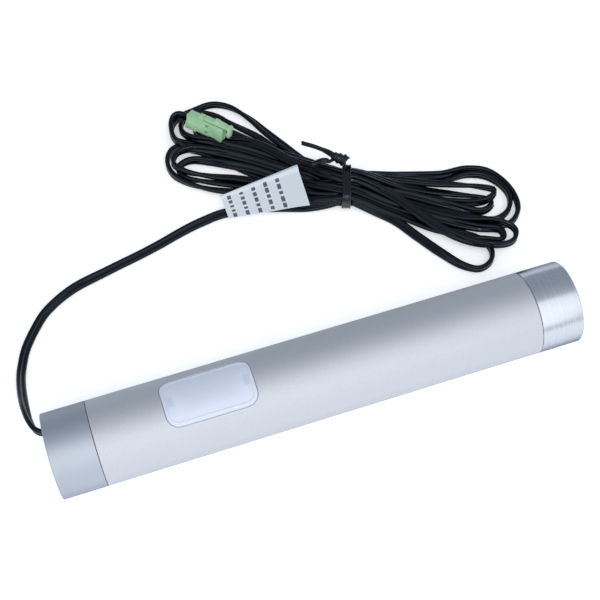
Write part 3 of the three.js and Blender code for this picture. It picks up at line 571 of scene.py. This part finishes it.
# %% Tube housing
TUBE_R = 17.5
TUBE_WALL = 1.5
TUBE_END = 91.9
EDGE_BREAK = 0.12
WINDOW_X = -45
WINDOW_SIZE = (37, 20.2)
WINDOW_CORNER = 4.8
TURN_STEPS = 160
PATCH_TURN = 20
PATCH_LINES = 16
PATCH_REACH = 24
HALF_CORNER = 16
RING_BLENDS = (0.75, 0.5, 0.3, 0.14, 0.05, 0)

x_lines = np.concatenate([
    np.linspace(-TUBE_END + EDGE_BREAK, WINDOW_X - PATCH_REACH, 5)[:-1],
    np.linspace(WINDOW_X - PATCH_REACH, WINDOW_X + PATCH_REACH, PATCH_LINES + 1),
    np.linspace(WINDOW_X + PATCH_REACH, TUBE_END - EDGE_BREAK, 14)[1:]])
PATCH_START = 4


def rounded_window(grow):
    """The window's outline, grown by some mm, from the middle of one corner."""
    a, b = WINDOW_SIZE[0] / 2 + grow, WINDOW_SIZE[1] / 2 + grow
    r = WINDOW_CORNER + grow
    quarters = []
    for turn, (cx, cy) in enumerate(((-a + r, -b + r), (a - r, -b + r), (a - r, b - r), (-a + r, b - r))):
        start = pi + turn * pi / 2
        quarters.append([(cx + r * cos(start + t), cy + r * sin(start + t))
                         for t in np.linspace(0, pi / 2, 2 * HALF_CORNER + 1)])
    outline = []
    for side in range(4):
        count = 2 * PATCH_TURN if side % 2 else PATCH_LINES
        half_turns = quarters[side][HALF_CORNER:] + quarters[(side + 1) % 4][:HALF_CORNER + 1]
        line = np.array([(*p, 0) for p in half_turns])
        along = travelled(line)
        outline += [(WINDOW_X + float(np.interp(d, along, line[:, 0])), float(np.interp(d, along, line[:, 1])))
                    for d in np.linspace(0, along[-1], count + 1)[:-1]]
    return outline


def on_cylinder(x, angle, radius):
    return x, radius * sin(angle), AXIS_Z + radius * cos(angle)


def holed_cylinder(radius, grow):
    """A cylinder's grid with the window's hole, then the hole's ring and the two end rings."""
    points, faces, known = [], [], {}

    def at(i, j):
        key = (i, j % TURN_STEPS)
        if key not in known:
            known[key] = len(points)
            points.append(on_cylinder(x_lines[i], 2 * pi * j / TURN_STEPS, radius))
        return known[key]

    patch_end = PATCH_START + PATCH_LINES
    for i in range(len(x_lines) - 1):
        for j in range(-TURN_STEPS // 2, TURN_STEPS // 2):
            if not (PATCH_START <= i < patch_end and -PATCH_TURN <= j < PATCH_TURN):
                faces.append((at(i, j), at(i + 1, j), at(i + 1, j + 1), at(i, j + 1)))
    border = [(i, -PATCH_TURN) for i in range(PATCH_START, patch_end)]
    border += [(patch_end, j) for j in range(-PATCH_TURN, PATCH_TURN)]
    border += [(i, PATCH_TURN) for i in range(patch_end, PATCH_START, -1)]
    border += [(PATCH_START, j) for j in range(PATCH_TURN, -PATCH_TURN, -1)]
    ring = [at(*key) for key in border]
    outline = rounded_window(grow)
    for blend in RING_BLENDS:
        inner = []
        for (i, j), (x, y) in zip(border, outline):
            inner.append(len(points))
            angle = blend * 2 * pi * j / TURN_STEPS + (1 - blend) * asin(y / radius)
            points.append(on_cylinder(blend * x_lines[i] + (1 - blend) * x, angle, radius))
        faces += [(ring[k], ring[(k + 1) % len(ring)], inner[(k + 1) % len(ring)], inner[k])
                  for k in range(len(ring))]
        ring = inner
    ends = [[points[at(i, j)] for j in range(TURN_STEPS)] for i in (0, len(x_lines) - 1)]
    return (points, faces), [points[k] for k in ring], ends


def dropped(radius, outline, drop=0):
    """The window's outline on a cylinder, moved straight down."""
    return [(x, y, AXIS_Z + sqrt(radius ** 2 - y ** 2) - drop) for x, y in outline]


bore = TUBE_R - TUBE_WALL
outer_wall, outer_hole, outer_ends = holed_cylinder(TUBE_R, EDGE_BREAK)
inner_wall, inner_hole, inner_ends = holed_cylinder(bore, EDGE_BREAK)
cut_face = [outer_hole, dropped(TUBE_R, rounded_window(0), EDGE_BREAK),
            dropped(bore, rounded_window(0), -EDGE_BREAK), inner_hole]


def open_strip(rings):
    points, faces = lofted(rings)
    return points, faces[:-2]


def circle(x, radius, count=TURN_STEPS):
    return [on_cylinder(x, 2 * pi * j / count, radius) for j in range(count)]


tube_parts = [outer_wall, inner_wall, open_strip(cut_face)]
for side, outer_ring, inner_ring in zip((-1, 1), outer_ends, inner_ends):
    face_x = side * TUBE_END
    tube_parts.append(open_strip([
        outer_ring, circle(face_x, TUBE_R - EDGE_BREAK), circle(face_x, bore + EDGE_BREAK), inner_ring]))
tube = solid("tube", tube_parts, sharp=30)
wear(tube, "tube_anodised")
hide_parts("tube_housing")

# %% [markdown]
# Each cap is turned from bar: a cup with a flat end, a broken outer edge and a thin dark seam at the tube. The
# lathe's own profile makes it, from the middle of the end face round to the middle of the inside. The left cap
# also has a bore for the grommet. A boolean cuts it, because the end face is flat there and stays flat.

# %% Turned end caps
CAP_END = 110
CAP_OPEN = 92.1
CAP_WALL = 2.5
CAP_FACE = 2.5
CAP_EDGE = 0.35
EXIT = (-110, 9.8, 19.5)
GROMMET_R = 3.4
BORE_R = GROMMET_R + 0.15

inner = TUBE_R - CAP_WALL
CAP_PROFILE = [  # (distance along the bar, radius) from the middle of the end face to the middle of the inside
    (CAP_END, 0), (CAP_END, 6), (CAP_END, 12), (CAP_END, TUBE_R - CAP_EDGE),
    *((CAP_END - CAP_EDGE + CAP_EDGE * cos(a), TUBE_R - CAP_EDGE + CAP_EDGE * sin(a))
      for a in np.radians((15, 30, 45, 60, 75, 90))),
    (CAP_OPEN + EDGE_BREAK, TUBE_R), (CAP_OPEN, TUBE_R - EDGE_BREAK), (CAP_OPEN, inner + EDGE_BREAK),
    (CAP_OPEN + EDGE_BREAK, inner), (CAP_END - CAP_FACE, inner), (CAP_END - CAP_FACE, 0)]


def turned_cap(name, side):
    rings = [circle(side * x, r) if r else [(side * x, 0, AXIS_Z)] for x, r in CAP_PROFILE]
    return solid(name, [lofted(rings)], sharp=25)


def keep_modified(piece):
    """Keep what the modifiers make as the piece's own mesh."""
    after = bpy.data.meshes.new_from_object(piece.evaluated_get(bpy.context.evaluated_depsgraph_get()))
    piece.modifiers.clear()
    piece.data = after


def disc(x, radius, count=64):
    return [(x, EXIT[1] + radius * sin(t), EXIT[2] + radius * cos(t))
            for t in np.arange(count) * 2 * pi / count]


left_cap = turned_cap("cap_left", -1)
right_cap = turned_cap("cap_right", 1)
bore_cutter = solid("bore_cutter", [lofted([disc(-113, BORE_R), disc(-104, BORE_R)])])
modifier = left_cap.modifiers.new("cut", "BOOLEAN")
modifier.operation, modifier.object, modifier.solver = "DIFFERENCE", bore_cutter, "EXACT"
keep_modified(left_cap)
bpy.data.objects.remove(bore_cutter)
left_cap.data.set_sharp_from_angle(angle=radians(25))
for cap, node in ((left_cap, "end_cap_left"), (right_cap, "end_cap_right")):
    wear(cap, "cap_aluminium")
    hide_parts(node)
# Painted shade: the left cap takes the darker, rougher copy of the cap finish.
left_cap.data.materials[0] = FINISHES["cap_rougher_painted_shade"]

# %% [markdown]
# The grommet is a soft moulding that keeps the cord off the metal edge. Its rings start as circles and end as
# the cord's flat slot, so it is one closed ring of rubber with a rounded lip.

# %% Cord grommet
SLOT_CLEARANCE = 0.25
SLOT_SQUARENESS = 0.8
GROMMET_BACK = -106
GROMMET_LIP = ((GROMMET_BACK, 0), (-109.9, 0), (-110.25, 0.05), (-110.55, 0.3), (-110.65, 0.7))


def slot_ring(x, grow, count=64):
    ring = []
    for turn in np.arange(count) * 2 * pi / count:
        spot = [EXIT[k] + (size / 2 + grow) * copysign(abs(c) ** SLOT_SQUARENESS, c)
                for k, size, c in ((1, CORD_WIDTH, sin(turn)), (2, CORD_THICK, cos(turn)))]
        ring.append((x, *spot))
    return ring


grommet = solid("grommet", [lofted([
    *(disc(x, GROMMET_R - less) for x, less in GROMMET_LIP), slot_ring(-110.6, 0.5),
    slot_ring(-110.3, SLOT_CLEARANCE), slot_ring(GROMMET_BACK, SLOT_CLEARANCE)], closed=True)], sharp=50)
wear(grommet, "black_moulding")
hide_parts("cable_grommet")

# %% [markdown]
# The lens is moulded to the curve of the tube. Its outline is the window's, drawn smaller step by step: an outer
# rim flush with the tube, a shallow step, and the sunken frosted field. A flange behind the tube's wall keeps it
# in, with two snap tabs whose shade is painted faintly into the frosting.

# %% Frosted lens
LENS_GAP = 0.16
LENS_RIM = 1.5
LENS_SUNK = 0.3
LENS_THICK = 1.7
FLANGE_REACH = 1.6
FLANGE_THICK = 1.2
TAB = (2.2, 4.2, 4)
TAB_FROM_MIDDLE = 15.4
TAB_ROOT = 0.4
RIM_DEPTH = 0.06
STEP_RUN = 0.3
FIELD_EDGE = -LENS_GAP - LENS_RIM
FIELD_SHARES = (0.001, 0.25, 0.5, 0.75, 1)


def spine_ring(share, radius):
    """The field's outline shrunk towards a short line along its middle."""
    edge = rounded_window(FIELD_EDGE - STEP_RUN)
    half = WINDOW_SIZE[0] / 2 - WINDOW_SIZE[1] / 2
    ring = []
    for x, y in edge:
        middle = WINDOW_X + max(-half, min(half, x - WINDOW_X))
        ring.append((share * x + (1 - share) * middle, share * y))
    return dropped(radius, ring)


field_r = TUBE_R - LENS_SUNK
under_r = field_r - LENS_THICK
flange_out, flange_in = bore - 0.1, bore - 0.1 - FLANGE_THICK
lens_rings = [spine_ring(share, field_r) for share in FIELD_SHARES]
lens_rings += [dropped(radius, rounded_window(grow)) for grow, radius in (
    (FIELD_EDGE, field_r), (FIELD_EDGE + 0.12, TUBE_R - 0.04), (FIELD_EDGE + STEP_RUN, TUBE_R),
    (-LENS_GAP - 0.25, TUBE_R), (-LENS_GAP - 0.07, TUBE_R - 0.08), (-LENS_GAP, TUBE_R - 0.28),
    (-LENS_GAP, flange_out), (FLANGE_REACH, flange_out), (FLANGE_REACH, flange_in),
    (FIELD_EDGE, flange_in), (FIELD_EDGE, under_r))]
lens_rings += [spine_ring(share, under_r) for share in FIELD_SHARES[::-1]]


def box_shell(size, centre):
    """A plain box as points and faces."""
    x, y, z = (s / 2 for s in size)
    low = [(-x, -y), (x, -y), (x, y), (-x, y)]
    return lofted([[(centre[0] + a, centre[1] + b, centre[2] + h) for a, b in low] for h in (-z, z)])


tabs = [box_shell(TAB, (WINDOW_X + side * TAB_FROM_MIDDLE, 0, AXIS_Z + under_r - TAB[2] / 2 + TAB_ROOT))
        for side in (-1, 1)]
lens = solid("lens", [lofted(lens_rings), *tabs], sharp=40)
wear(lens, "lens_frosted")
lens.data.materials.append(FINISHES["lens_rim"])
for face in lens.data.polygons:
    corners = [lens.data.vertices[k].co for k in face.vertices]
    face.material_index = int(max(hypot(c.y, c.z - mm(AXIS_Z)) for c in corners) > mm(TUBE_R - RIM_DEPTH))
# Painted shade: soft darker spots in the frosted field over the two snap tabs and the middle of the box behind
# the lens.
for x, y, half, amount, soft in ((-TAB_FROM_MIDDLE, 0, (TAB[0] / 2, TAB[1] / 2, 1), 0.86, 0.5),
                                 (TAB_FROM_MIDDLE, 0, (TAB[0] / 2, TAB[1] / 2, 1), 0.86, 0.5),
                                 (0, -1, (9, 3, 1), 0.93, 4)):
    shaded(FINISHES["lens_frosted"], (WINDOW_X + x, y, 0), half, amount, soft)
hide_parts("window_lens")

# %% [markdown]
# The tie is a strip of black vinyl with a wire in each edge. It goes once round the bundle, its two ends are
# twisted together on top, and then they part: one long end stands straight and the short one curls down.
# All three are the same strip, swept along their own paths in the waist's own frame.

# %% Twist tie
TIE_WIDTH = 4.1
TIE_WIRE_R = 0.55
TIE_WEB = 0.5
BUNDLE_HALF = 9.9
BUNDLE_LOW, BUNDLE_HIGH = 0.75, 10.3
BAND_CROWN = 0.7
BAND_CORNER = 3.2
BAND_WAVE = 0.12
BAND_STEPS = 10
CROWN_STEPS = 14
WEB_RIB = 0.25


def strip_section(width):
    """A flat strip with a round wire in each edge, as (across, through) pairs."""
    half = width / 2 - TIE_WIRE_R
    edge = [(half + TIE_WIRE_R * cos(a), TIE_WIRE_R * sin(a)) for a in np.radians(np.linspace(-140, 140, 9))]
    edge += [(half / 2, TIE_WEB / 2), (0, TIE_WEB / 2 + WEB_RIB), (-half / 2, TIE_WEB / 2)]
    return edge + [(-x, -y) for x, y in edge]


def at_waist(u, v, z):
    """A point given along the bundle, across it and up."""
    return np.array((*(WAIST + u * ALONG + v * ACROSS), z))


def strip(line, across, width=TIE_WIDTH, closed=False):
    """Sweep the strip; across is the direction of its width at each point."""
    line, across = np.array(line, float), np.array(across, float)
    ahead = np.gradient(line, axis=0)
    if closed:
        ahead = np.roll(line, -1, axis=0) - np.roll(line, 1, axis=0)
    ahead /= norm(ahead, axis=1, keepdims=True)
    across -= (across * ahead).sum(1)[:, None] * ahead
    across /= norm(across, axis=1, keepdims=True)
    through = np.cross(ahead, across)
    shape = strip_section(width)
    return lofted([[p + x * a + y * t for x, y in shape] for p, a, t in zip(line, across, through)], closed)


def band_loop():
    """The loop round the bundle: flat above and below, with round corners."""
    loop, r = [], BAND_CORNER
    flat, low, high = BUNDLE_HALF - r, BUNDLE_LOW + r, BUNDLE_HIGH - r
    for turn, (v, z) in enumerate(((flat, low), (flat, high), (-flat, high), (-flat, low))):
        start = -pi / 2 + turn * pi / 2
        loop += [at_waist(BAND_WAVE * sin(5 * start + a), v + r * cos(start + a), z + r * sin(start + a))
                 for a in np.linspace(0, pi / 2, BAND_STEPS)]
        if turn == 1:
            loop += [at_waist(0, flat * (1 - 2 * q), BUNDLE_HIGH + BAND_CROWN * sin(pi * q))
                     for q in np.linspace(0, 1, CROWN_STEPS)[1:-1]]
    return loop


band = band_loop()
tie_parts = [strip(band, [(*ALONG, 0)] * len(band), closed=True)]

KNOT_START, KNOT_END = (-0.2, 9.6, 11.4), (-5.8, 10.9, 12.8)
KNOT_TURNS = 1.3
KNOT_R = 2.0
KNOT_STEPS = 26
END_WIDTH = 2.8
END_SPACING = 0.8
END_UNTWIST = 2.5


def twisted_end(phase, tail):
    """One end of the tie: half of the twist, then its own tail."""
    start, end = at_waist(*KNOT_START), at_waist(*KNOT_END)
    ahead = (end - start) / norm(end - start)
    side = np.cross(ahead, (0, 0, 1))
    side /= norm(side)
    rise = np.cross(side, ahead)
    line, across = [], []
    for share in np.linspace(0, 1, KNOT_STEPS):
        turn = phase + share * KNOT_TURNS * 2 * pi
        out = cos(turn) * side + sin(turn) * rise
        reach = KNOT_R * (1.1 - 0.3 * share + 0.22 * sin(9 * share + phase))
        line.append(start + share * (end - start) + reach * out)
        across.append(np.cross(ahead, out))
    tail = [at_waist(*p) for p in tail]
    joined = spline_through(np.array([line[-1], *tail]), END_SPACING)[1:]
    keep = across[-1]
    last = np.cross(tail[-1] - tail[0], (0, 0, 1.0))
    final = np.array((0, 0, 1.0)) if phase == 0 else last / norm(last)
    for share in np.linspace(0, 1, len(joined)):
        turned = min(1, END_UNTWIST * share)
        across.append((1 - turned) * keep + turned * final)
    return strip(line + list(joined), across, width=END_WIDTH)


tie_parts.append(twisted_end(0, [(-9.2, 13.8, 13.2), (-14.6, 16.4, 13.2), (-20.8, 18.9, 12.6)]))
tie_parts.append(twisted_end(pi, [(-8.2, 8.4, 13.6), (-10.2, 8.0, 14.4), (-12.7, 8.1, 13.4), (-15.3, 8.2, 11)]))
tie = solid("tie", tie_parts, sharp=50)
wear(tie, "tie_black")
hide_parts("twist_tie")

# %% [markdown]
# The label is a strip of coated paper folded over the lead and stuck to itself. The fold is the round edge
# nearest the hank, and the free edge lies open, so one end is narrower than the other. It is a thin closed
# sheet made from a grid of its own coordinates: along the lead, and across from the fold.

# %% Label
FOLD_START, FOLD_END = np.array((-11.1, 104.2, 7.8)), np.array((26.6, 108.0, 11.0))
FREE_START, FREE_END = np.array((-10.6, 91.8, 5.2)), np.array((25.4, 84.5, 9.8))
LABEL_THICK = 0.25
FOLD_DROP = 2.2
FOLD_SHARE = 0.2
FOLD_BULGE = 0.9
FOLD_ROUND = 0.6
ARCH = 0.5
RIPPLE = 0.25
RIPPLES = 2.6
ROW_CROWDING = 1.3
LABEL_STEPS = (40, 34)


def label_point(u, v):
    """A point of the label's middle; u runs along the lead and v from the fold to the free edge."""
    spot = (1 - v) * ((1 - u) * FOLD_START + u * FOLD_END) + v * ((1 - u) * FREE_START + u * FREE_END)
    turn = min(1, v / FOLD_SHARE)
    spot[2] -= FOLD_DROP * (1 - sin(min(1, turn / FOLD_ROUND) * pi / 2))
    spot[2] += FOLD_BULGE * sin(pi * turn ** 1.6)
    spot[2] += ARCH * sin(pi * u) * (0.4 + 0.6 * v) + RIPPLE * sin(RIPPLES * pi * u + 1) * v
    return spot


def label_grid(drop):
    us, vs = (np.linspace(0, 1, steps + 1) for steps in LABEL_STEPS)
    vs = vs ** ROW_CROWDING
    spots = np.array([[label_point(u, v) for v in vs] for u in us])
    normal = np.cross(np.gradient(spots, axis=0), np.gradient(spots, axis=1))
    normal *= -np.sign(normal[..., 2:3])
    normal /= norm(normal, axis=2, keepdims=True)
    return spots + drop * normal, us, vs


def label_shell():
    top, us, vs = label_grid(-LABEL_THICK / 2)
    below, _, _ = label_grid(LABEL_THICK / 2)
    m, n = len(us), len(vs)
    border = [(i, 0) for i in range(m)] + [(m - 1, j) for j in range(1, n)]
    border += [(i, n - 1) for i in range(m - 2, -1, -1)] + [(0, j) for j in range(n - 2, 0, -1)]
    points = [*top.reshape(-1, 3), *below.reshape(-1, 3)]
    faces = []
    for layer in (0, m * n):
        faces += [(layer + i * n + j, layer + (i + 1) * n + j, layer + (i + 1) * n + j + 1, layer + i * n + j + 1)
                  for i in range(m - 1) for j in range(n - 1)]
    for (i, j), (k, o) in zip(border, border[1:] + border[:1]):
        faces.append((i * n + j, k * n + o, m * n + k * n + o, m * n + i * n + j))
    return points, faces


label = solid("label", [label_shell()], sharp=50)
wear(label, "label_paper")
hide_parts("label_flag")

# %% [markdown]
# The real label carries print, which is left out: plain dashes stand in its place, in columns from the fold to
# the free edge. Geometry Nodes lay a flat page of dashes with random lengths and carry each dash's corners to
# the label's sheet, so that the ink follows every wave of the paper.

# %% Plain dashes in place of the print
PAGE_LENGTH = 0.66
PAGE_MIDDLE = (0.4, 0.58, 0)


def dash_tree():
    """Dashes on a flat page, carried to the label's sheet."""
    tree = bpy.data.node_groups.new("label dashes", "GeometryNodeTree")
    keys = {}
    for name, kind, value in (
            ("Sheet", "Geometry", None), ("Columns", "Int", 5), ("Dashes", "Int", 5), ("Spread", "Float", 0.62),
            ("Dash Width", "Float", 0.046), ("Shortest", "Float", 0.07), ("Longest", "Float", 0.15),
            ("Ink", "Float", mm(0.03)), ("Seed", "Int", 7), ("Finish", "Material", None)):
        socket = tree.interface.new_socket(name=name, in_out="INPUT", socket_type="NodeSocket" + kind)
        keys[name] = socket.identifier
        if value is not None:
            socket.default_value = value
    tree.interface.new_socket(name="Dashes", in_out="OUTPUT", socket_type="NodeSocketGeometry")
    given = add(tree, "NodeGroupInput", {}).outputs
    page = add(tree, "GeometryNodeMeshGrid", {
        "Size X": given["Spread"], "Size Y": PAGE_LENGTH, "Vertices X": given["Columns"],
        "Vertices Y": given["Dashes"]})
    moved = add(tree, "GeometryNodeTransform", {"Geometry": page, "Translation": PAGE_MIDDLE})
    dash = add(tree, "GeometryNodeMeshCube", {"Vertices X": 2, "Vertices Y": 5, "Vertices Z": 2})
    length = add(tree, "FunctionNodeRandomValue", {
        2: given["Shortest"], 3: given["Longest"], "Seed": given["Seed"]}, data_type="FLOAT")
    size = add(tree, "ShaderNodeCombineXYZ", {0: given["Dash Width"], 1: length.outputs[1], 2: given["Ink"]})
    laid = add(tree, "GeometryNodeInstanceOnPoints", {"Points": moved, "Instance": dash, "Scale": size})
    flat = add(tree, "GeometryNodeRealizeInstances", {0: laid})
    spot = add(tree, "GeometryNodeInputPosition", {})
    part = add(tree, "ShaderNodeSeparateXYZ", {0: spot})
    page_spot = add(tree, "ShaderNodeCombineXYZ", {0: part, 1: part.outputs[1]})
    page_map = add(tree, "GeometryNodeInputNamedAttribute", {"Name": "page"}, data_type="FLOAT_VECTOR")
    facing = add(tree, "GeometryNodeInputNormal", {})
    place, normal = [add(tree, "GeometryNodeSampleUVSurface", {
        "Mesh": given["Sheet"], "Value": value, 2: page_map, 3: page_spot}, data_type="FLOAT_VECTOR")
        for value in (spot, facing)]
    lift = add(tree, "ShaderNodeVectorMath", {0: normal, "Scale": part.outputs[2]}, operation="SCALE")
    lifted = add(tree, "ShaderNodeVectorMath", {0: place, 1: lift}, operation="ADD")
    carried = add(tree, "GeometryNodeSetPosition", {"Geometry": flat, "Position": lifted})
    inked = add(tree, "GeometryNodeSetMaterial", {"Geometry": carried, "Material": given["Finish"]})
    add(tree, "NodeGroupOutput", {0: inked})
    return tree, keys


def label_page():
    """The label's upper face as a mesh that carries its own page coordinates."""
    spots, us, vs = label_grid(-LABEL_THICK / 2)
    m, n = len(us), len(vs)
    mesh = bpy.data.meshes.new("label_page")
    mesh.from_pydata([mm(*map(float, p)) for p in spots.reshape(-1, 3)], [], [
        (i * n + j, i * n + j + 1, (i + 1) * n + j + 1, (i + 1) * n + j)
        for i in range(m - 1) for j in range(n - 1)])
    layer = mesh.uv_layers.new(name="page")
    for loop in mesh.loops:
        layer.data[loop.index].uv = (us[loop.vertex_index // n], vs[loop.vertex_index % n])
    return mesh


FINISHES["label_ink"] = grained("grey printing ink", ("#4c5158", "#62686f"), (0.5, 0.6), 0.5, 0.002)
dashes = placed("label_dashes", label_page())
modifier = dashes.modifiers.new("print", "NODES")
modifier.node_group, keys = dash_tree()
modifier[keys["Finish"]] = FINISHES["label_ink"]
keep_modified(dashes)
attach(dashes, "bar")
print("dashes:", len(dashes.data.polygons), "faces, box", [round(v * 1000, 1) for v in dashes.dimensions])

# %% [markdown]
# The connector is a small green polyamide housing with two contact cavities in its end. Its shape is already
# right in the CAD model, so each node is copied and its edges are rounded as a mould leaves them.

# %% Connector housing, latch and contacts
def rounded_copy(node, name, width):
    """A merged copy of a CAD node with its sharp edges rounded."""
    piece = placed(name, frame["nodes"][node].data.copy())
    piece.data.materials.clear()
    built = bmesh.new()
    built.from_mesh(piece.data)
    bmesh.ops.remove_doubles(built, verts=built.verts, dist=mm(0.002))
    bmesh.ops.dissolve_limit(built, angle_limit=radians(1), verts=built.verts, edges=built.edges)
    built.to_mesh(piece.data)
    built.free()
    modifier = piece.modifiers.new("round", "BEVEL")
    modifier.width, modifier.segments, modifier.limit_method = mm(width), ROUND_STEPS, "ANGLE"
    keep_modified(piece)
    piece.data.polygons.foreach_set("use_smooth", [True] * len(piece.data.polygons))
    piece.data.set_sharp_from_angle(angle=radians(40))
    return piece


ROUND_STEPS = 3
housing = rounded_copy("plug_housing", "plug_body", 0.25)
latch = rounded_copy("plug_latch", "plug_arm", 0.2)
wear(housing, "connector_green")
wear(latch, "connector_green", "latch")
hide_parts("plug_housing")
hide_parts("plug_latch")
for number in (1, 2):
    contact = rounded_copy(f"plug_contact_{number}", f"plug_pin_{number}", 0.12)
    wear(contact, "tinned_contact")
    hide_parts(f"plug_contact_{number}")

# %% [markdown]
# What is inside the tube stays as the CAD model has it. Each node gets the finish of its slot, so the part is
# complete when it is opened or cut.

# %% Finishes for the CAD nodes that stay
for subpart in frame["record"]["subparts"]:
    node = frame["nodes"][subpart["node"]]
    node.data.materials.clear()
    node.data.materials.append(FINISHES[subpart["material_slot"]])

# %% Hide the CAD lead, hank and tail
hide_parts("lead_cord", "cord_hank", "plug_tail")

# %% [markdown]
# The stage is a plain pale table. A large soft light stands in front of the bar and above it, and the room
# behind is dimmer: that is what makes the caps show one clean bright band below a darker one. A small lamp
# beside it gives the black cord its thin bright streaks.

# %% Table, room and lights
TABLE_HALF = 3000
ROOM_STRENGTH = 0.92
LIGHTS = {  # name: place in mm, size in mm, power in W
    "front softbox": ((-60, -520, 640), (1500, 1250), 4.9),
    "key lamp": ((-20, -360, 640), (120, 30), 0.28),
}
LIGHT_TARGET = Vector(mm(0, 20, 0))

corners = [(TABLE_HALF * x, TABLE_HALF * y, 0) for x, y in ((-1, -1), (1, -1), (1, 1), (-1, 1))]
table = solid("table", [(corners, [(0, 1, 2, 3)])])
table.data.materials.append(grained("pale table laminate", ("#f6f7f8", "#f2f3f5"), (0.7, 0.8), 5, 0.005,
                                   {"Emission Color": linear("#ffffff"), "Emission Strength": 0.42}))

room = bpy.data.worlds.new("room")
room.use_nodes = True
bpy.context.scene.world = room
sky = room.node_tree
look = add(sky, "ShaderNodeTexCoord", {})
parts = add(sky, "ShaderNodeSeparateXYZ", {0: look})
front = add(sky, "ShaderNodeMapRange", {
    "Value": parts.outputs[1], "From Min": -0.6, "From Max": 0.5, "To Min": 1.0, "To Max": 0.0})
tone = add(sky, "ShaderNodeMix", {0: front, 6: linear("#a8b1bd"), 7: linear("#e3e6eb")}, data_type="RGBA")
feed(sky, sky.nodes["Background"], {"Color": tone.outputs[2], "Strength": ROOM_STRENGTH})

for name, (place, size, power) in LIGHTS.items():
    lamp = bpy.data.lights.new(name, "AREA")
    lamp.shape = "RECTANGLE"
    lamp.size, lamp.size_y = mm(*size)
    lamp.energy = power
    holder = placed(name, lamp)
    holder.location = mm(*place)
    holder.rotation_euler = (LIGHT_TARGET - holder.location).to_track_quat("-Z", "Y").to_euler()
    holder.visible_camera = False
bpy.context.scene.view_settings.view_transform = "Standard"
